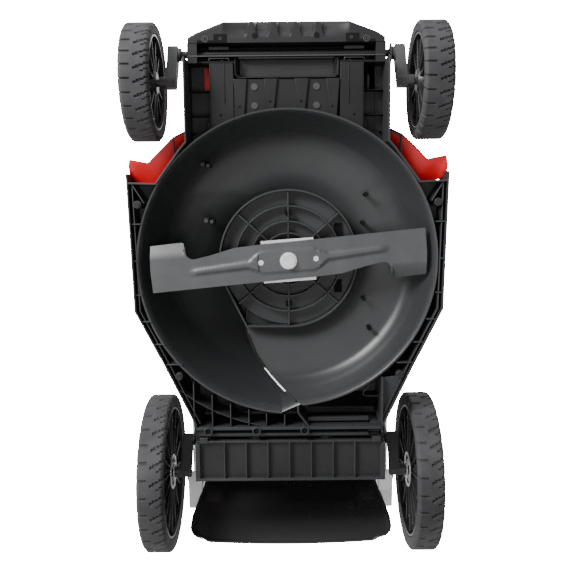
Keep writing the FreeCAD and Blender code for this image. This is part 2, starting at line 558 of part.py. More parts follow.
def make_cam_levers():
    """Quick-release levers: one on each telescope collar and one at each fold pivot."""
    for name, y_pin, z_mid, x_in in (("clamp_lever", "tube_end_y - 12", "pivot_z", "tube_x + 18.3"),
                                     ("fold_lever", "pivot_y", "pivot_z", "tube_x + tube_radius + 4.3")):
        toward = 1 if name == "clamp_lever" else -1
        tip = f"{y_pin} + {62 * toward}"
        points = [(x_in, f"{y_pin} - {1.2 * toward}"), (f"{x_in} + 2.2", f"{y_pin} - {4 * toward}"),
                  (f"{x_in} + 8", f"{y_pin} - {4 * toward}"), (f"{x_in} + 11", f"{y_pin} + {12 * toward}"),
                  (f"{x_in} + 8", tip), (f"{x_in} + 4", tip), (f"{x_in}", f"{y_pin} + {12 * toward}")]
        pin = rod("z", 3, f"{z_mid} - 11", f"{z_mid} + 11", f"{x_in} + 5", y_pin)
        lever = fuse(slab("z", points, f"{z_mid} - 8", f"{z_mid} + 8"), pin)
        keep(f"{name}_right", lever)
        keep(f"{name}_left", mirrored(lever))


def make_screws():
    spots = [("247", "-164", "deck_low - 1"), ("187", "126", "deck_low - 1")]
    screws = []
    for x, y, z in spots:
        screws += both(fuse(rod("z", 4.5, z, f"{z} + 3", x, y), rod("z", 2, z, f"{z} + 30", x, y)))
    keep("deck_screws", *screws)


make_deck_shell()
make_cutting_chamber()
make_hub_plate()
make_front_bumper()
make_axle_clamps()
make_discharge_chute()
make_hood_cover()
make_motor()
make_blade_set()
make_battery_bay()
make_height_gear()
make_wheel("front", "front_wheel_radius", "front_tyre_depth", "front_tyre_inner_x",
           "front_tyre_outer_x", "front_axle_y")
make_wheel("rear", "rear_wheel_radius", "rear_tyre_depth", "rear_tyre_inner_x",
           "rear_tyre_outer_x", "rear_axle_y")
make_rear_flap()
make_rear_door()
make_handle()
make_cam_levers()
make_screws()
doc.recompute()

faults = [f"{o.Label}: {o.State}" for o in doc.Objects if "Invalid" in o.State or "Error" in o.State]
for piece in PIECES:
    if piece.Shape.isNull() or not piece.Shape.isValid() or not piece.Shape.Solids:
        faults.append(f"{piece.Label}: bad shape")
if faults:
    raise RuntimeError("; ".join(faults))

os.makedirs("parts", exist_ok=True)
for piece in PIECES:
    piece.Shape.exportStep(os.path.join("parts", piece.Label + ".step"))
    box_of = piece.Shape.BoundBox
    print(f"{piece.Label:20s} solids {len(piece.Shape.Solids):2d}  "
          f"x {box_of.XMin:7.1f} {box_of.XMax:7.1f}  y {box_of.YMin:7.1f} {box_of.YMax:7.1f}  "
          f"z {box_of.ZMin:6.1f} {box_of.ZMax:6.1f}")
print(len(PIECES), "pieces")
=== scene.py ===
import json
import math

import bmesh
import bpy
from mathutils import Matrix, Vector


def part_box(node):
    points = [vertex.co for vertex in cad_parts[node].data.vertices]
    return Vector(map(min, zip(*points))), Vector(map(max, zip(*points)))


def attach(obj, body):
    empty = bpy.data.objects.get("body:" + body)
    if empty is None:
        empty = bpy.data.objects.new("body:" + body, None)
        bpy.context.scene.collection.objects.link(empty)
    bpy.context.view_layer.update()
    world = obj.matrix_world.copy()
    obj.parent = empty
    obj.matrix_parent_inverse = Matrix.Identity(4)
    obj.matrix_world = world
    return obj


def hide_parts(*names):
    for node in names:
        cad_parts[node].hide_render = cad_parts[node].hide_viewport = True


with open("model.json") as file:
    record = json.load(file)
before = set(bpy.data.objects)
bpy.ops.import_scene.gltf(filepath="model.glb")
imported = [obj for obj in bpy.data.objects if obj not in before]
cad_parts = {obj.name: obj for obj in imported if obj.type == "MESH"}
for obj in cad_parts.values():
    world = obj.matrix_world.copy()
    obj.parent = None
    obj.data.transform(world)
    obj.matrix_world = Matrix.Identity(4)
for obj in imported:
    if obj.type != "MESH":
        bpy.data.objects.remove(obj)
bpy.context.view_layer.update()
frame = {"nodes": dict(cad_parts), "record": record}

# The mower stands on its wheels: +Z up, +Y to the rear.  Shapes are worked out in millimetres.
MM = 0.001
SIDES = ((1, "right"), (-1, "left"))


def node_box(name):
    """A CAD node's lowest and highest corners, in millimetres."""
    low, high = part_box(name)
    return low / MM, high / MM


# ------------------------------------------------------------------ materials
NOISE_LOW, NOISE_HIGH = 0.3, 0.7


def new_material(name):
    """A fresh material, with its nodes and its links."""
    material = bpy.data.materials.new(name)
    material.use_nodes = True
    return material, material.node_tree.nodes, material.node_tree.links


def noise(nodes, links, scale, detail, roughness, stretch):
    """A noise texture in object space, which is the same for every piece."""
    coordinate = nodes.new("ShaderNodeTexCoord")
    mapping = nodes.new("ShaderNodeMapping")
    mapping.inputs["Scale"].default_value = stretch
    texture = nodes.new("ShaderNodeTexNoise")
    texture.inputs["Scale"].default_value = scale
    texture.inputs["Detail"].default_value = detail
    texture.inputs["Roughness"].default_value = roughness
    links.new(coordinate.outputs["Object"], mapping.inputs["Vector"])
    links.new(mapping.outputs["Vector"], texture.inputs["Vector"])
    return texture.outputs["Fac"]


def spread(nodes, links, source, low, high):
    """Maps the middle of a noise to a range."""
    node = nodes.new("ShaderNodeMapRange")
    node.inputs["From Min"].default_value = NOISE_LOW
    node.inputs["From Max"].default_value = NOISE_HIGH
    node.inputs["To Min"].default_value = low
    node.inputs["To Max"].default_value = high
    links.new(source, node.inputs["Value"])
    return node.outputs["Result"]


def two_tone(nodes, links, source, dark, light):
    """Colours between two tones by a noise."""
    ramp = nodes.new("ShaderNodeValToRGB")
    ramp.color_ramp.elements[0].position = NOISE_LOW
    ramp.color_ramp.elements[0].color = (*dark, 1)
    ramp.color_ramp.elements[1].position = NOISE_HIGH
    ramp.color_ramp.elements[1].color = (*light, 1)
    links.new(source, ramp.inputs["Fac"])
    return ramp.outputs["Color"]


def surface(name, dark, light, rough, metallic=0.0, tone_scale=9.0, grain_scale=900.0, grain=0.06,
            stretch=(1, 1, 1), coat=0.0, specular=0.5, smudge_scale=14.0):
    """A principled surface: two tones, uneven gloss and a fine grain."""
    material, nodes, links = new_material(name)
    shader = nodes["Principled BSDF"]
    shader.inputs["Metallic"].default_value = metallic
    shader.inputs["Coat Weight"].default_value = coat
    shader.inputs["Coat Roughness"].default_value = 0.08
    shader.inputs["Specular IOR Level"].default_value = specular
    tone = noise(nodes, links, tone_scale, 5.0, 0.6, stretch)
    links.new(two_tone(nodes, links, tone, dark, light), shader.inputs["Base Color"])
    smudge = noise(nodes, links, smudge_scale, 6.0, 0.65, stretch)
    links.new(spread(nodes, links, smudge, rough[0], rough[1]), shader.inputs["Roughness"])
    bump = nodes.new("ShaderNodeBump")
    bump.inputs["Strength"].default_value = grain
    bump.inputs["Distance"].default_value = 0.0004
    links.new(noise(nodes, links, grain_scale, 2.0, 0.5, stretch), bump.inputs["Height"])
    links.new(bump.outputs["Normal"], shader.inputs["Normal"])
    return material


DECK = surface("deck_plastic", (0.023, 0.024, 0.025), (0.032, 0.033, 0.035), (0.42, 0.56), grain=0.10,
               specular=0.36)
CHAMBER = surface("chamber_plastic", (0.024, 0.025, 0.026), (0.030, 0.031, 0.032), (0.30, 0.36),
                  tone_scale=3.0, grain_scale=500.0, grain=0.05, smudge_scale=3.0)
NOSE = surface("nose_plastic", (0.012, 0.012, 0.013), (0.017, 0.017, 0.018), (0.45, 0.58), grain=0.14,
               specular=0.2)
DOOR = surface("door_plastic", (0.020, 0.020, 0.021), (0.023, 0.023, 0.024), (0.24, 0.28), tone_scale=3.0,
               grain=0.02, smudge_scale=3.0)
RED = surface("red_plastic", (0.43, 0.0004, 0.003), (0.50, 0.0006, 0.004), (0.26, 0.34), coat=0.15,
              grain_scale=300.0, grain=0.03, smudge_scale=4.0)
TYRE = surface("tyre_rubber", (0.034, 0.034, 0.036), (0.056, 0.056, 0.058), (0.70, 0.88),
               tone_scale=26.0, grain_scale=1400.0, grain=0.35, specular=0.3)
WHEEL = surface("wheel_plastic", (0.014, 0.014, 0.015), (0.022, 0.022, 0.023), (0.30, 0.44), grain=0.06)
BLADE = surface("blade_coat", (0.066, 0.067, 0.069), (0.086, 0.087, 0.090), (0.40, 0.52), metallic=0.35,
                tone_scale=20.0, grain_scale=1200.0, grain=0.12)
CRANK = surface("crank_coat", (0.040, 0.040, 0.042), (0.055, 0.055, 0.057), (0.38, 0.50), metallic=0.2,
                grain_scale=1500.0, grain=0.2)
BRIGHT = surface("bright_steel", (0.84, 0.84, 0.85), (0.95, 0.95, 0.96), (0.22, 0.36), metallic=0.7,
                 tone_scale=60.0, stretch=(1, 8, 1))
ALLOY = surface("alloy_tube", (0.70, 0.71, 0.72), (0.80, 0.81, 0.82), (0.28, 0.38), metallic=1.0,
                stretch=(8, 1, 8))
CAST = surface("cast_alloy", (0.30, 0.30, 0.31), (0.42, 0.42, 0.43), (0.40, 0.60), metallic=0.9, grain=0.3)
COPPER = surface("copper_winding", (0.45, 0.18, 0.06), (0.62, 0.28, 0.10), (0.3, 0.45), metallic=0.8,
                 stretch=(1, 1, 12))
BOARD = surface("circuit_board", (0.01, 0.09, 0.03), (0.02, 0.13, 0.05), (0.3, 0.5), tone_scale=80.0)
FOAM = surface("foam_grip", (0.018, 0.018, 0.019), (0.030, 0.030, 0.032), (0.80, 0.95),
               tone_scale=120.0, grain_scale=700.0, grain=0.5, specular=0.25)
PAD = surface("pad_plastic", (0.026, 0.028, 0.027), (0.034, 0.036, 0.035), (0.5, 0.65), grain=0.1)
# Darker than the deck plastic, for the flap's recessed panel between its ribs: painted shade of the recess.
FLAP_RECESS_SHADE = surface("flap_recess_shade_plastic", (0.011, 0.011, 0.012), (0.016, 0.016, 0.017), (0.42, 0.56), grain=0.10)
ROD_BLACK = surface("rod_black", (0.006, 0.006, 0.006), (0.010, 0.010, 0.010), (0.30, 0.42), grain=0.05)
TRIM = surface("trim_black", (0.014, 0.014, 0.015), (0.020, 0.020, 0.021), (0.36, 0.50), grain=0.25)
# Pale alloy for the handle brackets, also used for the painted highlight strip along the chamber lip.
PALE_ALLOY_AND_HIGHLIGHT = surface("pale_alloy_and_painted_highlight", (0.88, 0.88, 0.89), (0.95, 0.95, 0.96), (0.30, 0.45), metallic=0.1,
                     grain=0.1)
# Near-black material for plugs and plates set into holes, recesses and slots: painted shade, not the
# plastic's own colour.
PAINTED_HOLE_SHADE = surface("painted_recess_shade", (0.004, 0.004, 0.004), (0.008, 0.008, 0.008), (0.7, 0.9), specular=0.1)
BATTERY = surface("battery_case", (0.050, 0.051, 0.054), (0.066, 0.067, 0.070), (0.45, 0.60), grain=0.2)


def dark_between(material, half_width):
    """Darkens a material to near black between two planes across the mower, along the middle of a bar under
    the deck.
    """
    nodes, links = material.node_tree.nodes, material.node_tree.links
    shader = nodes["Principled BSDF"]
    tone = shader.inputs["Base Color"].links[0].from_socket
    coordinate = nodes.new("ShaderNodeTexCoord")
    split = nodes.new("ShaderNodeSeparateXYZ")
    links.new(coordinate.outputs["Object"], split.inputs["Vector"])
    size = nodes.new("ShaderNodeMath")
    size.operation = "ABSOLUTE"
    links.new(split.outputs["X"], size.inputs[0])
    outside = nodes.new("ShaderNodeMath")
    outside.operation = "GREATER_THAN"
    outside.inputs[1].default_value = half_width
    links.new(size.outputs["Value"], outside.inputs[0])
    mix = nodes.new("ShaderNodeMix")
    mix.data_type = "RGBA"
    mix.inputs["A"].default_value = (0.007, 0.007, 0.007, 1)
    links.new(outside.outputs["Value"], mix.inputs["Factor"])
    links.new(tone, mix.inputs["B"])
    links.new(mix.outputs["Result"], shader.inputs["Base Color"])
    return material


AXLE = surface("axle_coat", (0.040, 0.040, 0.042), (0.055, 0.055, 0.057), (0.38, 0.50), metallic=0.2,
               grain_scale=1500.0, grain=0.2)
# The crank rods are drawn near black between their arms, under the deck; the arms outside keep the grey.
dark_between(AXLE, 0.178)

SLOT_MATERIALS = {
    "black_plastic": DECK, "gloss_black": DOOR, "red_plastic": RED, "dark_steel": CRANK,
    "blade_steel": BLADE, "bright_steel": BRIGHT, "alloy_tube": ALLOY, "cast_alloy": CAST,
    "magnet_steel": CAST, "copper_winding": COPPER, "circuit_board": BOARD, "battery_grey": BATTERY,
    "soft_grip": FOAM, "lever_plastic": NOSE, "tyre_rubber": TYRE, "wheel_plastic": WHEEL,
}
NODE_MATERIALS = {
    "deck_screws": ROD_BLACK, "flap_rod": ROD_BLACK, "blade_plate": BRIGHT, "drive_pins": BRIGHT,
    "blade_bolt": BRIGHT, "front_crank": AXLE, "rear_crank": AXLE, "battery_bay": TRIM,
    "start_button": RED, "bail_lever": ROD_BLACK,
}


def dress_cad():
    """Gives every carried-over CAD node its material and small rounded edges."""
    for part in frame["record"]["subparts"]:
        node = frame["nodes"][part["node"]]
        node.data.materials.clear()
        material = NODE_MATERIALS.get(part["node"], SLOT_MATERIALS[part["material_slot"]])
        node.data.materials.append(material)
        soften(node)


# ------------------------------------------------------------------ mesh building
def soften(thing, width=0.5):
    """Small bevels on the sharp edges, with smooth shading in between."""
    bevel = thing.modifiers.new("edges", "BEVEL")
    bevel.width = width * MM
    bevel.segments = 2
    bevel.limit_method = "ANGLE"
    bevel.angle_limit = math.radians(35)
    bevel.use_clamp_overlap = True
    bevel.harden_normals = False


def carve(thing, cutters):
    """Cuts solids out of a piece and keeps what is left as its mesh."""
    for cutter in cutters:
        step = thing.modifiers.new("cut", "BOOLEAN")
        step.operation = "DIFFERENCE"
        step.solver = "EXACT"
        step.object = cutter
    bpy.context.view_layer.update()
    graph = bpy.context.evaluated_depsgraph_get()
    result = bpy.data.meshes.new_from_object(thing.evaluated_get(graph))
    thing.modifiers.clear()
    thing.data = result
    for cutter in cutters:
        bpy.data.objects.remove(cutter, do_unlink=True)


def offset_path(path, distance, closed):
    """A flat path moved sideways, with mitred corners."""
    count = len(path)
    moved = []
    for i, (x, y) in enumerate(path):
        before = path[i - 1] if (i or closed) else None
        after = path[(i + 1) % count] if (i < count - 1 or closed) else None
        normals = []
        for a, b in ((before, (x, y)), ((x, y), after)):
            if a is None or b is None:
                continue
            dx, dy = b[0] - a[0], b[1] - a[1]
            length = math.hypot(dx, dy) or 1.0
            normals.append((-dy / length, dx / length))
        nx = sum(n[0] for n in normals) / len(normals)
        ny = sum(n[1] for n in normals) / len(normals)
        square = max(nx * nx + ny * ny, 0.25)
        moved.append((x + nx * distance / square, y + ny * distance / square))
    return moved


def span(sign, near, far):
    """Two distances from the middle, low to high, on the side that sign gives."""
    return sorted((sign * near, sign * far))


def between(points, place):
    """Reads a value off a few (place, value) points, in straight runs."""
    if place <= points[0][0]:
        return points[0][1]
    for (a, low), (b, high) in zip(points, points[1:]):
        if place <= b:
            return low + (high - low) * (place - a) / (b - a)
    return points[-1][1]


def rounded(path, closed=True):
    """Cuts a path's corners, so that it runs softly."""
    softer = []
    for i in range(len(path) if closed else len(path) - 1):
        (ax, ay), (bx, by) = path[i], path[(i + 1) % len(path)]
        softer.append((ax * 0.75 + bx * 0.25, ay * 0.75 + by * 0.25))
        softer.append((ax * 0.25 + bx * 0.75, ay * 0.25 + by * 0.75))
    return softer if closed else [path[0]] + softer[1:-1] + [path[-1]]


def arc(cx, cy, radius, start, end, steps):
    """Points on an arc, angles in degrees."""
    angles = [math.radians(start + (end - start) * i / steps) for i in range(steps + 1)]
    return [(cx + radius * math.cos(a), cy + radius * math.sin(a)) for a in angles]


def soft_box(x0, x1, y0, y1, radius):
    """A rectangle with round corners."""
    corners = ((x1, y1, 0), (x0, y1, 90), (x0, y0, 180), (x1, y0, 270))
    path = []
    for x, y, turn in corners:
        cx = x - radius if x == x1 else x + radius
        cy = y - radius if y == y1 else y + radius
        path += arc(cx, cy, radius, turn, turn + 90, 6)
    return path


def radial(cx, cy, angle, reach, aside):
    """The point at some reach from a centre along an angle, and aside from that line."""
    c, s = math.cos(angle), math.sin(angle)
    return cx + reach * c - aside * s, cy + reach * s + aside * c


def band_faces(rows, count, closed):
    """Faces between rows of points, each row a closed ring of count points."""
    faces = []
    for i in range(rows if closed else rows - 1):
        for j in range(count):
            k, m = (i + 1) % rows, (j + 1) % count
            faces.append((i * count + j, i * count + m, k * count + m, k * count + j))
    return faces


class Form:
    """Gathers closed solids, in millimetres, into one mesh."""

    ORDER = {"z": lambda a, b, c: (a, b, c), "x": lambda a, b, c: (c, a, b), "y": lambda a, b, c: (a, c, b)}

    def __init__(self):
        self.verts = []
        self.faces = []

    def add(self, verts, faces):
        """Adds points and the faces that join them, renumbered to follow what is there."""
        base = len(self.verts)
        self.verts += verts
        self.faces += [tuple(base + i for i in face) for face in faces]
        return self

    def prism(self, outline, low, high, axis="z"):
        """A flat outline pushed along an axis."""
        order = self.ORDER[axis]
        count = len(outline)
        verts = [order(a, b, level) for level in (low, high) for a, b in outline]
        faces = [tuple(range(count))[::-1], tuple(range(count, 2 * count))]
        faces += [(i, (i + 1) % count, count + (i + 1) % count, count + i) for i in range(count)]
        return self.add(verts, faces)

    def block(self, x0, x1, y0, y1, z0, z1):
        """A plain box between two corners."""
        return self.prism([(x0, y0), (x1, y0), (x1, y1), (x0, y1)], z0, z1)

    def wall(self, path, thickness, low, high, closed=False, axis="z"):
        """A thin wall that follows a flat path."""
        left = offset_path(path, thickness / 2, closed)
        right = offset_path(path, -thickness / 2, closed)
        if not closed:
            return self.prism(left + right[::-1], low, high, axis)
        count = len(path)
        order = self.ORDER[axis]
        verts = []
        for side in (left, right):
            for height in (low, high):
                verts += [order(a, b, height) for a, b in side]
        faces = []
        for i in range(count):
            j = (i + 1) % count
            for first, second in ((0, 1), (1, 3), (3, 2), (2, 0)):
                faces.append((first * count + i, first * count + j, second * count + j, second * count + i))
        return self.add(verts, faces)

    def spun(self, profile, centre, axis="z", steps=72):
        """A closed (radius, height) outline spun round an axis through the centre."""
        verts = []
        for i in range(steps):
            angle = math.radians(360.0 * i / steps)
            for radius, height in profile:
                a, b = radius * math.cos(angle), radius * math.sin(angle)
                point = {"z": (a, b, height), "x": (height, a, b), "y": (a, height, b)}[axis]
                verts.append(tuple(c + p for c, p in zip(centre, point)))
        return self.add(verts, band_faces(steps, len(profile), True))

    def ring(self, inner, outer, low, high, centre, axis="z", steps=72):
        """A plain ring, or a disc when its inner radius is 0."""
        return self.spun([(inner, low), (outer, low), (outer, high), (inner, high)], centre, axis, steps)

    def tube(self, path, radius, sides=10):
        """A round bar along a path of three-dimensional points."""
        points = [Vector(p) for p in path]
        last = len(points) - 1
        verts = []
        for i, point in enumerate(points):
            along = (points[min(i + 1, last)] - points[max(i - 1, 0)]).normalized()
            side = along.cross(Vector((0, 0, 1)))
            if side.length < 0.1:
                side = along.cross(Vector((0, 1, 0)))
            side.normalize()
            lift = side.cross(along)
            for k in range(sides):
                a = 2 * math.pi * k / sides
                verts.append(tuple(point + radius * (math.cos(a) * side + math.sin(a) * lift)))
        faces = []
        for i in range(last):
            for k in range(sides):
                m = (k + 1) % sides
                faces.append((i * sides + k, (i + 1) * sides + k, (i + 1) * sides + m, i * sides + m))
        faces.append(tuple(range(sides)))
        faces.append(tuple(last * sides + k for k in range(sides))[::-1])
        return self.add(verts, faces)

    def sheet(self, rows, thickness):
        """A thin shell from a grid of points, thickened along its normals."""
        across = len(rows[0])
        grid = [[Vector(p) for p in row] for row in rows]
        normals = []
        for i in range(len(grid)):
            line = []
            for j in range(across):
                down = grid[min(i + 1, len(grid) - 1)][j] - grid[max(i - 1, 0)][j]
                right = grid[i][min(j + 1, across - 1)] - grid[i][max(j - 1, 0)]
                normal = down.cross(right)
                line.append(normal.normalized() if normal.length > 1e-9 else Vector((0, 0, 1)))
            normals.append(line)
        count = len(grid) * across
        verts = [tuple(p) for row in grid for p in row]
        verts += [tuple(p + n * thickness) for row, line in zip(grid, normals) for p, n in zip(row, line)]
        faces = []
        for i in range(len(grid) - 1):
            for j in range(across - 1):
                a, b = i * across + j, i * across + j + 1
                c, d = b + across, a + across
                faces.append((a, b, c, d))
                faces.append((count + d, count + c, count + b, count + a))
        edge = [j for j in range(across)]
        edge += [i * across + across - 1 for i in range(1, len(grid))]
        edge += [(len(grid) - 1) * across + j for j in range(across - 2, -1, -1)]
        edge += [i * across for i in range(len(grid) - 2, 0, -1)]
        for i, a in enumerate(edge):
            b = edge[(i + 1) % len(edge)]
            faces.append((b, a, count + a, count + b))
        return self.add(verts, faces)

    def build(self, name):
        """The gathered solids as one Blender object."""
        mesh = bpy.data.meshes.new(name)
        mesh.from_pydata([Vector(v) * MM for v in self.verts], [], self.faces)
        work = bmesh.new()
        work.from_mesh(mesh)
        bmesh.ops.recalc_face_normals(work, faces=work.faces)
        work.to_mesh(mesh)
        work.free()
        thing = bpy.data.objects.new(name, mesh)
        bpy.context.scene.collection.objects.link(thing)
        return thing

    def make(self, name, material, replaces=(), body="root", slot="black_plastic", bevel=0.5, smooth=35,
             holes=()):
        """Builds the piece, cuts its holes, dresses it and lets it ride on its body."""
        thing = self.build(name)
        if holes:
            carve(thing, [hole.build("cutter") for hole in holes])
        for polygon in thing.data.polygons:
            polygon.use_smooth = True
        thing.data.set_sharp_from_angle(angle=math.radians(smooth))
        thing.data.materials.clear()
        thing.data.materials.append(material)
        if bevel:
            soften(thing, bevel)
        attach(thing, body)
        if replaces:
            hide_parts(*replaces)
        return thing


# ------------------------------------------------------------------ sizes read from the frame
BLADE_BOX = node_box("blade")
CHAMBER_BOX = node_box("cutting_chamber")
MOTOR_BOX = node_box("motor_housing")
CENTRE_Y = (MOTOR_BOX[0].y + MOTOR_BOX[1].y) / 2
DECK_BOX = node_box("deck_shell")
LOW = DECK_BOX[0].z
TOP = CHAMBER_BOX[1].z
RIM_LOW = CHAMBER_BOX[0].z
NOSE_HALF = 165.0
SIDE = [(NOSE_HALF, -398), (NOSE_HALF, -264), (177, -250), (216, -197), (262, -199), (256, 13), (208, 108),
        (160, 209), (163, 226)]
RING = 251.0  # where the deck meets the chamber
FLAP_PIN = (236.0, 86.0)  # pins and rods are (y, z)
DOOR_PIN = (373, 303)
HANDLE_PIN = (415, 340)
LID_PIN = (-146, 300)
FRONT_ROD = (-412.0, 125.0)
NOSE_END = -285
TRAY = 112


def side_x(y):
    """The skirt's half width at a place along the mower."""
    for (x0, y0), (x1, y1) in zip(SIDE[1:], SIDE[2:]):
        if y0 <= y <= y1:
            return x0 + (x1 - x0) * (y - y0) / (y1 - y0)
    return NOSE_HALF


# ------------------------------------------------------------------ wheels
def tread(turn, across, rows):
    """The tread's depth, 0 to 1: straight slots on one half, stepped slanting ones on the other."""
    phase = (turn * rows) % 1.0
    depth = 0.0
    if 0.05 < across < 0.40:
        depth = slot_depth(phase, 0.30, 0.075)
    elif across < 0.05:
        depth = slot_depth(phase, 0.24, 0.11)
    elif 0.50 < across < 0.97:
        stair = math.floor((across - 0.50) / 0.47 * 4) / 4
        depth = slot_depth((phase + stair * 0.42) % 1.0, 0.55, 0.085)
        if across > 0.74:
            depth = max(depth, slot_depth((phase + stair * 0.42) % 1.0, 0.95, 0.05))
    elif across >= 0.97:
        depth = slot_depth(phase, 0.12, 0.09)
    return depth


def slot_depth(phase, centre, half):
    """1 in the middle of a groove, 0 outside, with steep sides."""
    return max(0.0, min(1.0, (half - abs(phase - centre)) / (half * 0.35)))


def make_tyre(end, side_name, sign):
    """One tyre, with its tread cut into the crown."""
    node = f"{end}_{side_name}_tyre"
    low, high = node_box(node)
    radius = (high.z - low.z) / 2
    centre = ((low.x + high.x) / 2, (low.y + high.y) / 2, (low.z + high.z) / 2)
    half = (high.x - low.x) / 2
    depth = 22.0 if radius > 100 else 17.0
    rows = 30 if radius > 100 else 28
    around = rows * 16
    across = 50
    lug = 3.2
    form = Form()
    verts = []
    profile = [(radius - depth, -half + 2), (radius - depth * 0.45, -half + 0.4)]
    crown = []
    for j in range(across + 1):
        v = j / across
        x = -half + 2 * half * v
        shoulder = abs(2 * v - 1)
        drop = 5.5 * max(0.0, (shoulder - 0.74) / 0.26) ** 2
        crown.append((radius - drop, x, v if sign > 0 else 1 - v))
    count = len(profile) * 2 + len(crown)
    for i in range(around):
        turn = i / around
        angle = 2 * math.pi * turn
        line = list(profile)
        for base, x, v in crown:
            line.append((base - lug * tread(turn, v, rows), x))
        line += [(r, -x) for r, x in reversed(profile)]
        for r, x in line:
            verts.append((centre[0] + sign * x, centre[1] + r * math.cos(angle),
                          centre[2] + r * math.sin(angle)))
    form.add(verts, band_faces(around, count, True))
    form.make(f"{end}_{side_name}_tread_tyre", TYRE, [node], body=f"{end}_{side_name}_wheel",
              slot="tyre_rubber", bevel=0, smooth=28)


def make_rim(end, side_name, sign):
    """One rim: ribs behind its disc, spokes before it, and a steel hub plate on the large wheels."""
    node = f"{end}_{side_name}_rim"
    low, high = node_box(node)
    radius = (high.z - low.z) / 2
    cy, cz = (low.y + high.y) / 2, (low.z + high.z) / 2
    inner, outer = (low.x, high.x) if sign > 0 else (-high.x, -low.x)
    disc = 233.5
    centre = (0, cy, cz)
    form = Form()
    bead, seat, well = radius - 1.5, radius - 0.1, radius - 5.5
    form.spun([(radius - 4.5, inner), (bead, inner), (seat, inner + 2), (seat, outer - 2),
               (bead, outer), (radius - 4.5, outer), (well, disc + 4), (well, disc - 4)], centre, "x", 96)
    form.ring(22, radius - 5, disc - 2, disc + 2, centre, "x", 96)
    hub = [(6.1, inner), (17, inner), (21, inner + 5), (24, disc), (24, 247), (6.1, 247)]
    form.spun(hub, centre, "x", 48)
    for ring_radius in ((0.42, 0.60, 0.80) if radius > 100 else (0.48, 0.74)):
        r = ring_radius * radius
        rib = [(r - 1.1, inner + 7), (r + 1.1, inner + 7), (r + 1.4, disc), (r - 1.4, disc)]
        form.spun(rib, centre, "x", 72)
    ribs = 16 if radius > 100 else 12
    for i in range(ribs):
        angle = 2 * math.pi * (i + 0.5) / ribs
        corners = ((19, inner + 2.5), (radius - 6, inner + 4), (radius - 6, disc), (19, disc))
        verts = [(x, *radial(cy, cz, angle, r, t)) for r, x in corners for t in (-1.1, 1.1)]
        form.add(verts, [(0, 2, 4, 6), (1, 7, 5, 3), (0, 1, 3, 2), (2, 3, 5, 4), (4, 5, 7, 6), (6, 7, 1, 0)])
    spokes = 9
    for i in range(spokes):
        base = 2 * math.pi * i / spokes
        verts = []
        for x in (disc + 1, disc + 9):
            shrink = 1.0 if x < disc + 4 else 0.72
            for r, width in ((25, 8.0), (radius * 0.6, 6.5), (radius - 6, 12.0)):
                for t in (-width * shrink, width * shrink):
                    verts.append((x, *radial(cy, cz, base, r, t)))
        faces = [(0, 1, 3, 2), (2, 3, 5, 4), (6, 8, 9, 7), (8, 10, 11, 9), (0, 6, 7, 1), (4, 5, 11, 10),
                 (0, 2, 8, 6), (2, 4, 10, 8), (1, 7, 9, 3), (3, 9, 11, 5)]
        form.add(verts, faces)
    if sign < 0:
        form.verts = [(-x, y, z) for x, y, z in form.verts]
    form.make(f"{end}_{side_name}_ribbed_rim", WHEEL, [node], body=f"{end}_{side_name}_wheel",
              slot="wheel_plastic", bevel=0.4)
    if radius < 100:
        return
    plate = Form()
    arms = 5
    plate.ring(12.5, 17, inner - 1.8, inner - 0.2, centre, "x", 48)
    plate.ring(27, 31, inner + 1.2, inner + 3, centre, "x", 60)
    for i in range(arms):
        angle = 2 * math.pi * i / arms
        verts = []
        for r, x, w in ((15, inner - 1.8, 5), (29, inner + 1.2, 7)):
            for t in (-w, w):
                for lift in (0, 1.6):
                    verts.append((x + lift, *radial(cy, cz, angle, r, t)))
        plate.add(verts, [(0, 2, 6, 4), (1, 5, 7, 3), (0, 1, 3, 2), (4, 6, 7, 5), (0, 4, 5, 1), (2, 3, 7, 6)])
    if sign < 0:
        plate.verts = [(-x, y, z) for x, y, z in plate.verts]
    plate.make(f"{end}_{side_name}_hub_plate", BRIGHT, body=f"{end}_{side_name}_wheel",
               slot="bright_steel", bevel=0.3)


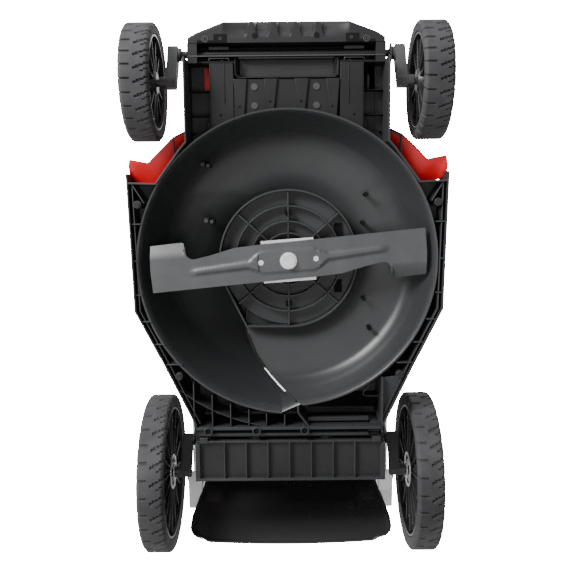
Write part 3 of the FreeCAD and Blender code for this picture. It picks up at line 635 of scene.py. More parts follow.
# ------------------------------------------------------------------ deck
def make_deck():
    """Skirt, inner lip, top plate, side ribs, screw bosses, cheeks and the red shoulders."""
    form = Form()
    for sign in (-1, 1):
        form.wall([(sign * x, y) for x, y in SIDE], 3, LOW, TOP + 3)
    form.block(-163, 163, 225, 228, LOW + 16, TOP + 3)
    lip = [(x - 7, y) for x, y in SIDE[4:8]]
    for sign in (-1, 1):
        form.wall([(sign * x, y) for x, y in lip], 2, LOW + 5, TOP)
        form.wall([(sign * 262.5, -214), (sign * 262, -199)], 3, LOW, TOP - 20)
        form.wall([(sign * 255, -197), (sign * 236, -166)], 2, LOW + 4, TOP)
        form.wall([(sign * NOSE_HALF, NOSE_END), (sign * 189, -274), (sign * 189, -240)], 2.6, 92, TOP)
    plate = []
    for i in range(181):
        angle = math.radians(2 * i)
        c, s = math.cos(angle), math.sin(angle)
        reach = 250.5
        while reach < 480:
            x, y = reach * c, CENTRE_Y + reach * s
            if not NOSE_END < y < 226 or abs(x) > side_x(y) - 2:
                break
            reach += 1.5
        plate.append([(249 * c, CENTRE_Y + 249 * s, TOP), (reach * c, CENTRE_Y + reach * s, TOP)])
    form.sheet(plate, 2.5)
    form.block(-164, 128, -398, NOSE_END, TOP, TOP + 2.5)
    form.block(151, 164, -398, NOSE_END, TOP, TOP + 2.5)
    form.block(128, 151, -355, NOSE_END, TOP, TOP + 2.5)
    for y in (-132, -71, -14, 31, 70, 105):
        start = math.sqrt(RING ** 2 - (y - CENTRE_Y) ** 2)
        for sign in (-1, 1):
            a, b = span(sign, start, side_x(y) - 1)
            form.block(a, b, y - 1, y + 1, LOW + 4, TOP)
    for sign in (-1, 1):
        form.prism([(sign * x, y) for x, y in ((217, -195), (260, -197), (258, -133), (241, -133))], 112, 114)
    for x, y in ((247, -164), (187, 126)):
        for sign in (-1, 1):
            form.spun([(3.4, LOW + 4), (6.5, LOW + 4), (7.5, TOP), (3.4, TOP)], (sign * x, y, 0), "z", 24)
    for sign in (-1, 1):
        cheek = [(190, TOP), (343, TOP), (372, 244), (374, 262), (362, 286), (300, 286), (190, 240)]
        a, b = span(sign, 158, 170)
        form.prism(cheek, a, b, "x")
        form.block(a, b, 226, 330, 132, TOP + 2)
    form.make("deck_moulding", DECK, ["deck_shell"], bevel=0.45)
    for sign, side_name in SIDES:
        shoulder = Form()
        outer = [(166, -286), (190, -275), (212, -254), (233, -233), (249, -236), (264, -239), (266, -226),
                 (264, -213)]
        inner = [(164, -265), (177, -251), (197, -223), (216, -198), (232, -199), (246, -200), (255, -201),
                 (258, -202)]
        skin, face = [], []
        for (ox, oy), (ix, iy) in zip(outer, inner):
            middle = (sign * (ox * 0.6 + ix * 0.4), oy * 0.6 + iy * 0.4, 98)
            skin.append([(sign * ox, oy, 94), middle, (sign * ix, iy, 106)])
            face.append([(sign * ox, oy, 94), (sign * ox * 0.995, oy * 0.995, TOP + 4)])
        shoulder.sheet(skin, 2.4)
        shoulder.sheet(face, 2.4)
        shoulder.make(f"red_shoulder_{side_name}", RED, slot="red_plastic", bevel=0.5, smooth=20)


def make_nose():
    """The tray behind the front axle: pocket, pads, axle saddles, link liner, screws and red tab."""
    form = Form()

    def front_of_chamber(x):
        """The front edge of the chamber's ring at x."""
        return CENTRE_Y - math.sqrt(RING * RING - x * x)

    for sign in (-1, 1):
        side = [(sign * x, front_of_chamber(x)) for x in (89, 102, 115, 128)]
        form.prism([(sign * 89, -396), (sign * 128, -396)] + side[::-1], TRAY, TRAY + 3)
        form.block(*span(sign, 126, 129), -396, -284, TRAY, TOP)
        form.block(*span(sign, 86, 164), -400, -396, TRAY + 2, TOP)
        form.wall([(sign * 104, -394), (sign * 104, -330)], 1.6, TRAY - 1.2, TRAY + 1)
        for y in (-353, -312):
            form.block(*span(sign, 129, 163), y - 1, y + 1, 128, TOP)
        form.block(*span(sign, 128, 134), -300, -288, TRAY + 4, TOP)
    middle = [(x, front_of_chamber(x)) for x in range(-89, 90, 10)]
    form.prism([(89, -370), (-89, -370)] + middle, TRAY + 1.5, TRAY + 4)
    for centre in (-78, -27, 25, 77):
        wide, narrow = 11.5, 5.5
        shift = 1 if abs(centre) > 50 else 0
        back = front_of_chamber(centre)
        form.prism([(centre - wide, -370), (centre + wide, -370), (centre + narrow + shift, back),
                    (centre - narrow + shift, back)], TRAY - 2.5, TRAY + 2)
    pocket = [(87, -404), (87, -377), (80, -371), (-80, -371), (-87, -377), (-87, -404)]
    floor_edge = [(80, -404), (80, -380), (74, -375), (-74, -375), (-80, -380), (-80, -404)]
    form.sheet([[(x, y, TRAY - 1) for x, y in pocket], [(x, y, TRAY + 22) for x, y in floor_edge]], 2)
    form.make("nose_tray", NOSE, bevel=0.9)
    pocket_floor = Form()
    pocket_floor.block(-80, 80, -404, -374, TRAY + 20, TRAY + 24)
    pocket_floor.block(-80, 80, -405.5, -404, TRAY + 6, TRAY + 24)
    pocket_floor.make("nose_pocket_floor", TRIM, bevel=0.5)
    lip = Form()
    lip.block(-163, 163, -407, -405, TRAY - 8, TRAY - 4)
    lip.make("tray_lip", PAD, bevel=0.4)
    saddles = Form()
    for sign in (-1, 1):
        saddles.block(*span(sign, 96, 130), -424, -400, 131.5, 147)
        for low, high in ((-424, -418.5), (-405.5, -400)):
            saddles.block(*span(sign, 96, 130), low, high, 118, 132)
        saddles.block(*span(sign, 97, 131), -404.5, -396, TRAY + 6, TRAY + 12)
    saddles.make("axle_saddles", TRIM, ["axle_clamps"], bevel=0.6)
    liner = Form()
    liner.block(112, 146, -414, -340, 208, 210)
    liner.make("link_liner", TRIM, bevel=0.5)
    pads = Form()
    for x, y in ((-54, -357), (-54, -326), (50, -357), (50, -326)):
        pads.spun([(0, TRAY + 0.2), (5.6, TRAY + 0.2), (6.2, TRAY + 2), (0, TRAY + 2)], (x, y, 0), "z", 28)
    pads.make("nose_pads", PAD, bevel=0.3)
    # Black discs and flat blocks in the screw recesses under the nose: painted shade in the recesses.
    marks = Form()
    for x, y in ((-79, -324), (-28, -333), (24, -333), (76, -324), (-111, -311), (113, -311)):
        low = TRAY - 2.9 if abs(x) < 100 else TRAY - 0.4
        marks.ring(0, 2.1, low, TRAY, (x, y, 0), "z", 16)
    under, inside = 103.2, 106
    for x, y, radius in ((-52, -438, 4.6), (50, -438, 4.6), (-134, -433, 4.2), (132, -432, 4.2)):
        marks.ring(0, radius, under, inside, (x, y, 0), "z", 24)
    for sign in (-1, 1):
        marks.block(*span(sign, 98, 120), -441, -427.5, 103.4, 106)
        marks.block(*span(sign, 120, 147), -431, -427.5, 103.4, 106)
    marks.make("nose_screw_recess_shade", PAINTED_HOLE_SHADE, bevel=0.2)
    rims = Form()
    for x, y in ((-134, -433), (132, -432)):
        rims.ring(1.6, 2.6, 102.6, 105, (x, y, 0), "z", 24)
        rims.ring(4.0, 5.4, 102.9, 105, (x, y, 0), "z", 24)
    for x, y, low in ((-109, -434, 103), (107, -434, 103), (-108, -399, 116), (106, -399, 116)):
        rims.ring(1.4, 2.4, low, low + 6, (x, y, 0), "z", 20)
    rims.make("nose_screws", CRANK, slot="dark_steel", bevel=0.2)
    red = Form()
    red.block(-141, -132, -394, -355, TRAY + 31, TRAY + 34)
    red.make("nose_red_tab", RED, slot="red_plastic", bevel=0.5)


BUMPER = node_box("front_bumper")
BUMPER_BACK = BUMPER[1].y
PRONGS = (-57.5, -21.0, 16.0, 52.5)


def bumper_front(x):
    """How far forward the bumper reaches at a place across it."""
    nose = BUMPER[0].y + 1
    return between([(0, nose), (104, nose), (150, nose + 17), (163, nose + 25)], abs(x))


def bumper_low(x, depth):
    """The bumper's underside: prongs that stay low, with scallops between that climb to the front."""
    reach = 25.0
    base = BUMPER[0].z + 6
    if depth >= reach:
        return base
    prong = max(min(1.0, max(0.0, (6.6 + 0.26 * depth - abs(x - place)) / 3.0)) for place in PRONGS)
    fade = between([(0, 1), (60, 1), (74, 0.6), (104, 0.0)], abs(x))
    climb = 36.0 * (1 - depth / reach) ** 1.25
    edge = 5.0 * max(0.0, 1 - depth / 4.0) ** 2
    return base + climb * (1 - prong) * fade + edge


def make_bumper():
    """The bumper: a shell with prongs and scallops underneath, and blocks at its two ends."""
    form = Form()
    rows = []
    half = int(BUMPER[1].x)
    places = [0.0, 0.02, 0.05, 0.09, 0.14, 0.20, 0.27, 0.34, 0.42, 0.50, 0.58, 0.66, 0.74, 0.82, 0.90, 1.0]
    for step in range(-half * 2, half * 2 + 1, 3):
        x = step / 2
        front = bumper_front(x)
        climb = bumper_low(x, 0) - bumper_low(PRONGS[0], 0)
        row = [(x, front - 3, BUMPER[1].z), (x, front - 5, (BUMPER[1].z + bumper_low(x, 0)) / 2)]
        for place in places:
            y = front + (BUMPER_BACK - front) * place
            lean = 0.23 * climb * max(0.0, 1 - 3 * place)
            row.append((x, y - lean, bumper_low(x, y - front)))
        row.append((x, BUMPER_BACK, BUMPER[1].z - 3))
        rows.append(row)
    form.sheet(rows, 2)
    side = [(BUMPER_BACK, BUMPER[0].z + 6), (bumper_front(half), BUMPER[0].z + 8),
            (bumper_front(half), BUMPER[1].z), (BUMPER_BACK, BUMPER[1].z)]
    low, high = BUMPER[0].z + 7, BUMPER[1].z
    for sign in (-1, 1):
        form.prism(side, *span(sign, half - 2, half), "x")
        inner, outer = span(sign, 148, 164.5)
        form.block(inner, outer, BUMPER_BACK, -419, low, high)
        form.block(inner, outer, -405, -395, low, high)
        form.block(inner, outer, -419, -405, low, 118.5)
        form.block(inner, outer, -419, -405, 131.5, high)
    form.block(-half, 127, BUMPER[0].y + 14, -396, BUMPER[1].z - 2, BUMPER[1].z)
    form.block(152, half, -440, -396, BUMPER[1].z - 2, BUMPER[1].z)
    form.make("bumper_moulding", NOSE, ["front_bumper"], bevel=0.35, smooth=40)


def make_quadrant():
    """The height lever's notched quarter plate beside the nose."""
    low, high = node_box("height_quadrant")
    centre_y, centre_z = FRONT_ROD
    outer = []
    notches = 6
    steps = notches * 6
    for i in range(steps + 1):
        angle = math.radians(52 + 56 * i / steps)
        radius = 76.0 - (4.0 if i % 6 in (3, 4) else 0.0)
        outer.append((centre_y + radius * math.cos(angle), centre_z + radius * math.sin(angle)))
    inner = arc(centre_y, centre_z, 52, 108, 52, 16)
    form = Form()
    form.prism(outer + inner, low.x, high.x, "x")
    form.block(164, high.x, -432, -394, TOP, centre_z + 62)
    form.make("notched_quadrant", CRANK, ["height_quadrant"], slot="dark_steel", bevel=0.4)


def make_rear():
    """The comb of ribs behind the chamber, its bars, screw bosses, end wall and wire clip."""
    form = Form()
    ring = 263.5
    for x in (-163, -132, -101, -70, -40, -9):
        start = CENTRE_Y + math.sqrt(ring * ring - x * x)
        form.block(x - 1, x + 1, start, 215, LOW + 4, TOP)
    curved = rounded([(-186, 150), (-162, 169), (-131, 186), (-101, 199), (-70, 209), (-42, 214)], False)
    form.wall(curved, 1.4, LOW + 6, TOP - 30)
    form.wall([(14, 179), (14, 190), (31, 213), (31, 222)], 3, LOW + 2, TOP)
    form.block(-162, 155, 214, 219, LOW, LOW + 14)
    form.block(-160, 156, 216, 219, LOW + 10, TOP)
    form.block(-150, 12, 203, 208, TOP - 34, TOP - 28)
    form.block(31, 136, 205, 212, LOW + 26, LOW + 34)
    form.block(139, 157, 212, 224, LOW + 18, LOW + 34)
    form.block(155.5, 158.5, 130, 226, LOW + 2, TOP)
    form.prism([(158, 132), (195, 128), (204, 112), (160, 206)], LOW + 12, LOW + 14)
    bar = [(225, 70), (227, 66.5), (231, 66.5), (233, 70), (233, 80), (225, 80)]
    form.prism(bar, -146, 134, "x")
    form.block(-162, -146, 222, 231, LOW + 6, LOW + 24)
    for x in (-139, -57, 25):
        form.spun([(5, LOW - 3), (7.4, LOW - 3), (7.6, LOW + 16), (5, LOW + 16)], (x, 220.5, 0), "z", 32)
    form.make("rear_comb", DECK, bevel=0.4)
    # Black plugs inside the screw bosses and a black plate in the opening on the right of the tunnel: painted
    # shade in the hollows.
    dark = Form()
    for x in (-139, -57, 25):
        dark.ring(0, 5.1, LOW - 1, LOW + 12, (x, 220.5, 0), "z", 24)
    dark.block(33, 155, 176, 204, TOP - 6, TOP - 3)
    dark.make("rear_hollow_shade", PAINTED_HOLE_SHADE, bevel=0.2)
    clip = Form()
    clip.tube([(158, 171, 96), (132, 171, 96), (128, 168, 96), (128, 164, 96), (138, 153, 96), (141, 149, 98),
               (146, 148, 104)], 1.2)
    clip.make("spring_clip", CRANK, slot="dark_steel", bevel=0)


# ------------------------------------------------------------------ rear flap, door and brackets
FLAP = node_box("rear_flap")


def make_flap():
    """The trailing flap behind the deck, with its ribs and the knuckles round its rod."""
    form = Form()
    half = FLAP[1].x
    front, back, low = FLAP[0].y + 10, FLAP[1].y, FLAP[0].z
    form.block(-half, half, back - 4, back, low, low + 12)
    form.block(-half + 14, half - 14, front - 2, front + 1.5, low + 3, low + 12)
    for sign in (-1, 1):
        form.block(*span(sign, half - 8, half), front + 4, back, low + 1, low + 12)
        form.block(*span(sign, half - 22, half - 8), front - 8, front + 2, low + 2, low + 15)
    for i in range(7):
        x = (i - 3) * 37.3 - 1
        form.block(x - 1.1, x + 1.1, front, back - 3, low + 1.5, low + 10)
    # The recessed base panel is drawn darker than the ribs and frame around it: painted shade in the recess.
    base = Form()
    base.block(-half + 2, half - 2, front, back - 2, low + 9, low + 11.5)
    base.make("flap_panel", FLAP_RECESS_SHADE, body="rear_flap", bevel=0.4)
    pivot_y, pivot_z = FLAP_PIN
    for x in (-146, -60, 60, 146):
        form.ring(3.2, 6.5, x - 7, x + 7, (0, pivot_y, pivot_z), "x", 32)
        form.prism([(pivot_y - 4, pivot_z - 5), (front + 8, low + 10), (front + 10, low + 13),
                    (pivot_y + 5, pivot_z + 3)], x - 5, x + 5, "x")
    form.make("trailing_flap", DECK, ["rear_flap"], body="rear_flap", bevel=0.5)


def make_door():
    """The discharge door: a smooth shell that flares towards its rolled lower rim."""
    form = Form()
    line = [(0.0, 376, 299), (0.18, 384, 268), (0.38, 395, 234), (0.58, 410, 199), (0.78, 431, 164),
            (0.92, 449, 141), (1.0, 458, 131)]
    widths = [(0.0, 160), (0.25, 164), (0.45, 169), (0.62, 176), (0.78, 184), (0.90, 186.0), (1.0, 186.0)]
    corner = 0.86
    rows = []
    steps, across = 44, 64
    for i in range(steps + 1):
        s = i / steps
        y, z = between([(a, b) for a, b, _ in line], s), between([(a, c) for a, _, c in line], s)
        width = between(widths, s)
        if s > corner:
            turn = (s - corner) / (1 - corner)
            width -= 26.0 * (1 - math.sqrt(max(0.0, 1 - turn * turn)))
        row = []
        for j in range(across + 1):
            u = 2 * j / across - 1
            rim = max(0.0, (abs(u) - 0.94) / 0.06)
            row.append((width * u, y - 7 * u * u - 5 * rim * rim, z - 3 * u * u))
        rows.append(row)
    form.sheet(rows, 2.2)
    edge = [row[0] for row in rows[4:]] + rows[-1][1:-1] + [row[-1] for row in rows[:3:-1]]
    form.tube([(x * 0.992, y - 0.5, z - 0.5) for x, y, z in edge], 2.4)
    pivot = (0, *DOOR_PIN)
    for x in (-95, 0, 95):
        form.ring(3.2, 6.0, x - 22, x + 22, pivot, "x", 32)
        form.prism([(373, 298), (379, 292), (384, 296), (378, 303)], x - 20, x + 20, "x")
    form.make("flared_door", DOOR, ["rear_door"], body="rear_door", slot="gloss_black", bevel=0,
              smooth=45)


def make_chute():
    """The discharge tunnel's upper walls and the rear roof beside it, with the door's posts."""
    tunnel = Form()
    tunnel.prism([(100, 236), (100, 246), (120, 256), (360, 286), (367, 286), (361, 190), (232, 190),
                  (200, 236)], -130, 130, "x")
    hollow = Form()
    hollow.prism([(103, 230), (103, 244), (121, 253), (360, 283), (425, 283), (425, 193), (233, 193),
                  (203, 230)], -127, 127, "x")
    tunnel.make("chute_tunnel", CHAMBER, ["discharge_chute"], bevel=0.5, holes=[hollow])
    roof = Form()
    for sign in (-1, 1):
        roof.prism([(186, 262), (360, 284), (371, 284), (371, 287), (358, 287), (186, 265)],
                   *span(sign, 129.5, 170), "x")
        roof.block(*span(sign, 122, 130), 361, 369.5, 285, 300)
        for y in (230, 262, 294, 326):
            height = 262 + (y - 186) * 0.126
            roof.block(*span(sign, 131, 168), y - 1.5, y + 1.5, height + 2, height + 6)
    for x in (-84, -42, 0, 42, 84):
        roof.prism([(196, 264.5), (352, 284), (352, 288.5), (196, 269)], x - 1.5, x + 1.5, "x")
    roof.make("rear_roof", DECK, bevel=0.7)


def make_brackets():
    """Pressed alloy brackets that carry the folding handle, with their flanges turned outwards."""
    for sign, side_name in SIDES:
        form = Form()
        outline = [(300, 206), (366, 206), (425, 210), (432, 226), (432, 322), (430, 356), (400, 356),
                   (340, 286), (300, 270)]
        form.prism(outline, *span(sign, 170.3, 173.3), "x")
        flange = [(348, 207.5), (366, 207.5), (422, 211), (430.5, 226), (430.5, 318)]
        form.wall(flange, 2.4, *span(sign, 172, 197), axis="x")
        form.ring(0, 4, sign * 170, sign * 208, (0, *HANDLE_PIN), "x", 24)
        form.make(f"handle_bracket_{side_name}", PALE_ALLOY_AND_HIGHLIGHT, ["handle_brackets"], slot="cast_alloy",
                  bevel=0.6)


# ------------------------------------------------------------------ hood
# Three outlines of the hood's right half, front to rear: at the deck, at its waist and at its crown.
HOOD_BASE = [(95, -446), (158, -436), (160, -405), (164, -284), (236, -232), (262, -214), (257, 15),
             (205, 108), (166, 184)]
HOOD_WAIST = [(88, -440), (148, -431), (150, -400), (152, -275), (198, -215), (214, -180), (205, 10),
              (178, 95), (163, 178)]
HOOD_CROWN = [(62, -303), (88, -297), (90, -284), (96, -230), (102, -160), (106, -110), (106, 0),
              (100, 40), (90, 60)]
HOOD_HEIGHTS = (TOP + 4, 222.0, 300.0)


def hood_levels(shrink, drop):
    """Rings of points up the hood, bulging between its three driving outlines."""
    rings = []
    for lower, upper, low, high, count in ((HOOD_BASE, HOOD_WAIST, *HOOD_HEIGHTS[:2], 6),
                                           (HOOD_WAIST, HOOD_CROWN, *HOOD_HEIGHTS[1:], 8)):
        for i in range(count + (upper is HOOD_CROWN)):
            t = i / count
            bulge = t ** 1.5 if upper is HOOD_CROWN else t ** 1.25
            half = [(a + (c - a) * bulge, b + (d - b) * bulge) for (a, b), (c, d) in zip(lower, upper)]
            ring = rounded([(x, y) for x, y in half] + [(-x, y) for x, y in reversed(half)])
            ring = offset_path(ring, shrink, True)
            rings.append([(x, y, low + (high - low) * t - drop) for x, y in ring])
    return rings


def loft(rings):
    """A closed solid through a stack of rings."""
    count = len(rings[0])
    verts = [p for ring in rings for p in ring]
    faces = [tuple(range(count))[::-1], tuple(range((len(rings) - 1) * count, len(rings) * count))]
    return Form().add(verts, faces + band_faces(len(rings), count, False))


def make_hood():
    """The hood's shell, dark inside, with its vents, louvres, grille, trim and battery bay frame."""
    inner = hood_levels(2.6, 3.6)
    inner.insert(0, [(x, y, TOP - 20) for x, y, z in inner[0]])
    openings = Form()
    openings.block(-78, 78, -288, -141, 230, 320)
    openings.prism([(99, 100), (99, 247), (120, 258), (300, 281), (300, 100)], -131, 131, "x")
    openings.block(136, 147, 140, 220, 180, 236)
    vents = Form()
    for i in range(7):
        y = -118 + i * 20
        for sign in (-1, 1):
            vents.prism([(y, 196), (y + 9, 196), (y + 21, 240), (y + 12, 240)], *span(sign, 150, 260), "x")
    for i in range(5):
        z = 178 + i * 9
        vents.block(-70, 70, -460, -400, z, z + 4.5)
    hood = loft(hood_levels(0, 0)).make("hood_shell", RED, ["hood_cover"], slot="red_plastic", bevel=0.6,
                                        smooth=30, holes=[loft(inner), openings, vents])
    hood.data.materials.append(TRIM)
    for polygon in hood.data.polygons:
        place = polygon.center / MM
        middle = Vector((0, min(max(place.y, -250), 30), 150))
        if polygon.normal.dot(place - middle) < 0:
            polygon.material_index = 1
    trim = Form()
    base = [(x, y) for x, y, z in hood_levels(-1.6, 0)[0]]
    trim.wall(base, 3.4, TOP + 2.5, TOP + 8, closed=True)
    trim.make("hood_base_trim", TRIM, bevel=1.0)
    grille = Form()
    for i in range(6):
        z = 174 + i * 9
        grille.block(-72, 72, -446 + (z - 154) * 0.12, -430 + (z - 154) * 0.12, z - 1.1, z + 1.1)
    grille.make("front_grille", TRIM, bevel=0.8)
    for sign, side_name in SIDES:
        louvre = Form()
        for i in range(7):
            y = -109 + i * 20
            x = 199 - abs(i - 2.0) * 0.8
            louvre.prism([(y, 197), (y + 10.5, 197), (y + 22.5, 239), (y + 12, 239)],
                         *span(sign, x - 8, x - 5), "x")
        louvre.make(f"vent_louvres_{side_name}", TRIM, bevel=0.5)
    frame_ring = Form()
    ring = soft_box(-81, 81, -291, -139, 9)
    frame_ring.wall(ring, 5, 292, 302.5, closed=True)
    frame_ring.make("bay_surround", TRIM, bevel=1.2)


def make_lid():
    """The battery lid: a crowned panel with grip ribs and its two hinge barrels."""
    low, high = node_box("battery_lid")
    form = Form()
    rows = []
    steps = 20
    for i in range(steps + 1):
        v = i / steps
        y = low.y + 3 + (high.y - low.y - 9) * v
        row = []
        for j in range(steps + 1):
            u = 2 * j / steps - 1
            crown = (1 - abs(u) ** 4) * (1 - abs(2 * v - 1) ** 4)
            row.append((high.x * 0.965 * u, y, 299 + 6.5 * crown))
        rows.append(row)
    form.sheet(rows, 2.5)
    for i in range(7):
        y = low.y + 14 + i * 6
        form.prism([(y, 303), (y + 2.6, 303), (y + 2.2, 307.6), (y + 0.4, 307.6)], -34, 34, "x")
    for sign in (-1, 1):
        form.ring(0, 4, sign * 46, sign * 70, (0, *LID_PIN), "x", 28)
    form.make("battery_lid_cover", TRIM, ["battery_lid"], body="battery_lid", bevel=0.4)


def make_switch_box():
    """The switch box on the handlebar: a soft-cornered case in two halves."""
    low, high = node_box("switch_box")
    form = Form()
    middle = (low.z + high.z) / 2
    outline = soft_box(low.x, high.x, low.y, high.y, 14)
    layers = ((low.z + 3, middle - 0.6, 0), (middle + 0.6, high.z - 3, 0), (middle - 1, middle + 1, 1.2),
              (low.z, low.z + 3, 2.5), (high.z - 3, high.z, 2.5))
    for z0, z1, small in layers:
        form.prism(offset_path(outline, small, True), z0, z1)
    for i in range(4):
        form.block(-20, 20, high.y - 22 + i * 5, high.y - 20 + i * 5, high.z - 0.5, high.z + 0.9)
    form.make("switch_case", TRIM, ["switch_box"], body="upper_handle", bevel=1.0)


def rim_radius(t):
    """The chamber rim's radius along its spiral, from the narrow end to the mouth."""
    return 246.0 + 13.0 * max(0.0, (t - 0.55) / 0.45) ** 1.5


def roof_height(t):
    """The chamber roof climbs along its spiral and then up into the tunnel."""
    return 112.0 + 30.0 * min(t / 0.72, 1.0) + 72.0 * max(0.0, (t - 0.70) / 0.30) ** 1.4


def mouth_angle(radius):
    """Where the roof's two ends meet: a swept edge, in degrees."""
    return 85.0 + 48.0 * (248.0 - min(radius, 248.0)) / 140.0


def spiral_point(radius, t, height):
    """A point on the chamber's spiral, where t runs from 0 to 1 round the ring."""
    angle = math.radians(mouth_angle(radius) - 352.0 * t)
    return (radius * math.cos(angle), CENTRE_Y + radius * math.sin(angle), height)


def make_chamber():
    """The chamber's spiral roof and wall, the lip where its two ends meet with a pale strip painted along it
    as a highlight, and its small marks: black cylinders painted as shade in its wash holes, and its bosses.
    """
    form = Form()
    steps = 176
    rows = []
    for i in range(steps + 1):
        t = i / steps
        roof = roof_height(t)
        rim = rim_radius(t)
        section = [(117, roof + 15), (123, roof + 13.5), (134, roof + 9), (150, roof + 4.5), (172, roof + 3),
                   (190, roof + 1.5), (204, roof - 1.5), (213, roof - 6), (218, roof - 13)]
        for k in range(1, 6):
            f = k / 6
            section.append((218 + (rim - 3 - 218) * f ** 0.8, (roof - 13) + (RIM_LOW + 5 - roof + 13) * f))
        section += [(rim - 1.5, RIM_LOW + 1), (rim, RIM_LOW), (rim + 2.4, RIM_LOW), (rim + 2.8, RIM_LOW + 3)]
        section.append((rim + 2.8, TOP))
        rows.append([spiral_point(r, t, z) for r, z in section])
    form.sheet(rows, 1.6)
    start, end = rows[0], rows[-1]
    step = [[start[j], end[j]] for j in range(len(start) - 3)]
    form.sheet(step, 1.2)
    form.make("chamber_volute", CHAMBER, ["cutting_chamber"], bevel=0, smooth=50)
    lip = Form()
    edge = ((150, 113.5), (175, 112.5), (200, 108.5), (213, 103), (224, 92), (234, 80), (241, 70))
    path = [spiral_point(r, 0.0, z) for r, z in edge]
    lip.tube(path, 1.7)
    lip.make("chamber_step_lip", NOSE, bevel=0)
    # A pale strip along the lower end of the lip: a painted highlight on the black edge.
    shine = Form()
    edge = ((196, 109), (206, 105.5), (213, 101.5), (220, 94.5), (228, 86))
    path = [spiral_point(r, 0.0, z) for r, z in edge]
    shine.tube(path, 1.5)
    shine.make("chamber_lip_painted_highlight", PALE_ALLOY_AND_HIGHLIGHT, bevel=0)
    # Black cylinders through the wash holes: painted shade in the holes.
    marks = Form()
    for x, y, w in ((133, -177, 7), (128, -129, 6), (129, 2, 6), (139, 53, 7)):
        marks.ring(0, w * 0.55, 102, 152, (x, y, 0), "z", 12)
    marks.make("chamber_wash_hole_shade", PAINTED_HOLE_SHADE, bevel=0)
    bumps = Form()
    for x, y in ((-143, -230), (-139, -135)):
        bumps.spun([(0, 104), (3.5, 104), (5, 112), (5, 150), (0, 150)], (x, y, 0), "z", 16)
        bumps.spun([(0, 106), (3, 106), (4, 112), (4, 150), (0, 150)], (x + 9, y + 2, 0), "z", 16)
    bumps.make("chamber_bosses", DECK, bevel=0.3)


def make_hub():
    """The motor's ring plate under the chamber roof, with its ring and spoke ribs."""
    z0 = node_box("hub_plate")[0].z
    z1 = z0 + 21
    centre = (0, CENTRE_Y, 0)
    form = Form()
    squared = arc(0, CENTRE_Y, 117, -202, 90, 48) + [(-73, CENTRE_Y + 116)]
    form.wall(squared, 3, z0, z1 + 22, closed=True)
    form.ring(26, 115, z1 - 3, z1, centre, "z", 96)
    form.ring(52, 116, 148, 150, centre, "z", 72)
    for radius in (44, 64, 90):
        form.spun([(radius - 1.2, z0 + 3), (radius + 1.2, z0 + 3), (radius + 1.4, z1), (radius - 1.4, z1)],
                  centre, "z", 96)
    for degrees in (90, 270, 42, 138, 222, 318):
        angle = math.radians(degrees)
        verts = [(*radial(0, CENTRE_Y, angle, r, t), z)
                 for z in (z0 + 3, z1) for r in (28, 115) for t in (-1.2, 1.2)]
        form.add(verts, [(0, 1, 3, 2), (4, 6, 7, 5), (0, 4, 5, 1), (2, 3, 7, 6), (0, 2, 6, 4), (1, 5, 7, 3)])
    form.make("hub_ring_plate", DECK, ["hub_plate"], bevel=0.35)
    # Black blocks in the hub plate's slots: painted shade in the slots.
    slots = Form()
    for y in (-128, -31):
        slots.block(79, 92, y, y + 22, z0 + 14, z1 + 0.4)
    for y in (-150, -146, 6, 10):
        slots.block(-5, -1.8, y, y + 3, z0 + 1, z1)
        slots.block(1.8, 5, y, y + 3, z0 + 1, z1)
    slots.make("hub_slot_shade", PAINTED_HOLE_SHADE, bevel=0.4)


# ------------------------------------------------------------------ blade
def make_blade():
    """The winged blade: a flat body with raised ribs, notched tips and upturned rear edges."""
    z0, thick = BLADE_BOX[0].z, BLADE_BOX[1].z - BLADE_BOX[0].z
    yaw = math.radians(-3.9)

    def seat(x, y, z):
        """Turns a point by the blade's yaw and moves it to the hub's centre."""
        return (x * math.cos(yaw) - y * math.sin(yaw), CENTRE_Y + x * math.sin(yaw) + y * math.cos(yaw), z)

    notch = arc(-157, -27, 13, 180, 75, 7)
    half = [(-230, 37), (-231, 0), (-228.5, -41), (-176, -43), (-172, -41), (-170, -34)] + notch
    half += [(-130, -18.5), (-88, -28), (-40, -30.5), (0, -31)]
    outline = half + [(-x, -y) for x, y in half]
    form = Form()
    work = bmesh.new()
    loop = [work.verts.new((x, y, 0)) for x, y in outline]
    work.faces.new(loop)
    bmesh.ops.triangulate(work, faces=work.faces[:])
    for _ in range(7):
        long_edges = [e for e in work.edges if e.calc_length() > 3.6]
        if long_edges:
            bmesh.ops.subdivide_edges(work, edges=long_edges, cuts=1)
            bmesh.ops.triangulate(work, faces=work.faces[:])
    work.verts.index_update()

    def relief(x, y):
        """Height of the embossed plateau and its two tapering arms, towards the ground."""
        if x < 0:
            x, y = -x, -y
        reach = max(0.0, min(1.0, (168 - x) / 14))
        half_width = 21.0 if x < 44 else max(8.0 - (x - 58) * 0.015, 6.0) if x > 66 else 21.0 - (x - 44) * 0.6
        centre = 0.0 if x < 58 else -1.5 - (x - 58) * 0.06
        side = max(0.0, min(1.0, (half_width - abs(y - centre)) / 4.5))
        return (1.3 if x < 50 else 2.8) * side * reach

    def lift(x, y):
        """The wings' trailing edges turn up, away from the ground."""
        if x < 0:
            x, y = -x, -y
        if x < 172 or y < 18:
            return 0.0
        return 9.0 * min((y - 18) / 24, 1.0) ** 1.5

    verts = [v.co.copy() for v in work.verts]
    faces = [tuple(v.index for v in f.verts) for f in work.faces]
    rim = [e for e in work.edges if e.is_boundary]
    rim_pairs = [tuple(v.index for v in e.verts) for e in rim]
    work.free()
    base = len(verts)
    points = [seat(v.x, v.y, z0 - relief(v.x, v.y) + lift(v.x, v.y)) for v in verts]
    points += [seat(v.x, v.y, z0 + thick - 0.6 + lift(v.x, v.y)) for v in verts]
    solid = [face for face in faces]
    solid += [tuple(base + i for i in reversed(face)) for face in faces]
    solid += [(a, b, base + b, base + a) for a, b in rim_pairs]
    form.add(points, solid)
    form.make("winged_blade", BLADE, ["blade"], body="blade_rotor", slot="blade_steel", bevel=0,
              smooth=30)


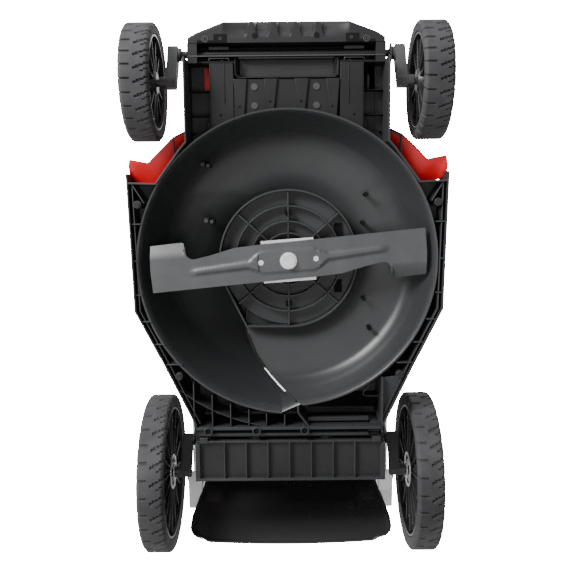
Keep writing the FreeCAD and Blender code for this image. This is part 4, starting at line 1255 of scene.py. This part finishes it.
# ------------------------------------------------------------------ stage, light and camera
def make_stage():
    """A pale floor that shows from above only, because the camera looks up from below it."""
    mesh = bpy.data.meshes.new("floor")
    reach = 9.0
    mesh.from_pydata([(-reach, -reach, 0), (reach, -reach, 0), (reach, reach, 0), (-reach, reach, 0)], [],
                     [(0, 1, 2, 3)])
    material, nodes, links = new_material("floor")
    shader = nodes["Principled BSDF"]
    shader.inputs["Base Color"].default_value = (0.86, 0.86, 0.87, 1)
    shader.inputs["Roughness"].default_value = 0.7
    clear = nodes.new("ShaderNodeBsdfTransparent")
    mix = nodes.new("ShaderNodeMixShader")
    geometry = nodes.new("ShaderNodeNewGeometry")
    links.new(geometry.outputs["Backfacing"], mix.inputs["Fac"])
    links.new(shader.outputs["BSDF"], mix.inputs[1])
    links.new(clear.outputs["BSDF"], mix.inputs[2])
    links.new(mix.outputs["Shader"], nodes["Material Output"].inputs["Surface"])
    mesh.materials.append(material)
    floor = bpy.data.objects.new("floor", mesh)
    bpy.context.scene.collection.objects.link(floor)
    floor.visible_shadow = False


def area_light(name, place, target, size, power):
    """A square lamp aimed at target, not seen by the camera."""
    data = bpy.data.lights.new(name, "AREA")
    data.energy = power
    data.size = size
    thing = bpy.data.objects.new(name, data)
    thing.location = place
    thing.rotation_euler = (Vector(target) - Vector(place)).to_track_quat("-Z", "Y").to_euler()
    thing.visible_camera = False
    bpy.context.scene.collection.objects.link(thing)


def make_light():
    """A white studio, with a strong light from below the front left and soft ones all round."""
    world = bpy.data.worlds.new("studio")
    world.use_nodes = True
    nodes, links = world.node_tree.nodes, world.node_tree.links
    nodes["Background"].inputs["Color"].default_value = (1, 1, 1, 1)
    nodes["Background"].inputs["Strength"].default_value = 1.05
    backdrop = nodes.new("ShaderNodeBackground")
    backdrop.inputs["Strength"].default_value = 45.0
    path = nodes.new("ShaderNodeLightPath")
    mix = nodes.new("ShaderNodeMixShader")
    links.new(path.outputs["Is Camera Ray"], mix.inputs["Fac"])
    links.new(nodes["Background"].outputs["Background"], mix.inputs[1])
    links.new(backdrop.outputs["Background"], mix.inputs[2])
    links.new(mix.outputs["Shader"], nodes["World Output"].inputs["Surface"])
    bpy.context.scene.world = world
    area_light("below_front_left", (-1.2, -1.3, -1.1), (0.1, 0.1, 0.1), 0.8, 84)
    area_light("below_rear_left", (-1.3, 1.0, -0.9), (0, 0.3, 0.15), 0.9, 14)
    area_light("front_low", (-0.2, -2.2, -0.15), (0, -0.4, 0.12), 1.0, 14)
    area_light("below_spot", (0.0, 0.03, -1.22), (0, -0.05, 0.1), 0.5, 4.5)
    area_light("above", (0.8, -1.2, 2.4), (0, 0, 0.2), 1.2, 16)
    area_light("above_rear", (-1.4, 1.4, 2.0), (0, 0, 0.2), 1.0, 9)


def make_camera():
    """Looks straight up at the underside, pitched a little towards the rear."""
    pitch, roll = 0.13, -0.0098
    right = Vector((1, 0, 0))
    down = Vector((0, math.cos(pitch), -math.sin(pitch)))
    ahead = Vector((0, math.sin(pitch), math.cos(pitch)))
    across = math.cos(roll) * right - math.sin(roll) * down
    up = -(math.sin(roll) * right + math.cos(roll) * down)
    data = bpy.data.cameras.new("camera")
    data.sensor_width = 36
    data.lens = 45.6
    camera = bpy.data.objects.new("camera", data)
    turn = Matrix((across, up, -ahead)).transposed().to_4x4()
    camera.matrix_world = Matrix.Translation(Vector((-0.00125, -0.1813, -1.140))) @ turn
    bpy.context.scene.collection.objects.link(camera)
    bpy.context.scene.camera = camera


make_camera()
make_light()
make_stage()
dress_cad()
for end in ("front", "rear"):
    for sign, side_name in SIDES:
        make_tyre(end, side_name, sign)
        make_rim(end, side_name, sign)
make_deck()
make_nose()
make_bumper()
make_quadrant()
make_rear()
make_flap()
make_door()
make_chute()
make_brackets()
make_hood()
make_lid()
make_switch_box()
make_chamber()
make_hub()
make_blade()
bpy.context.view_layer.update()
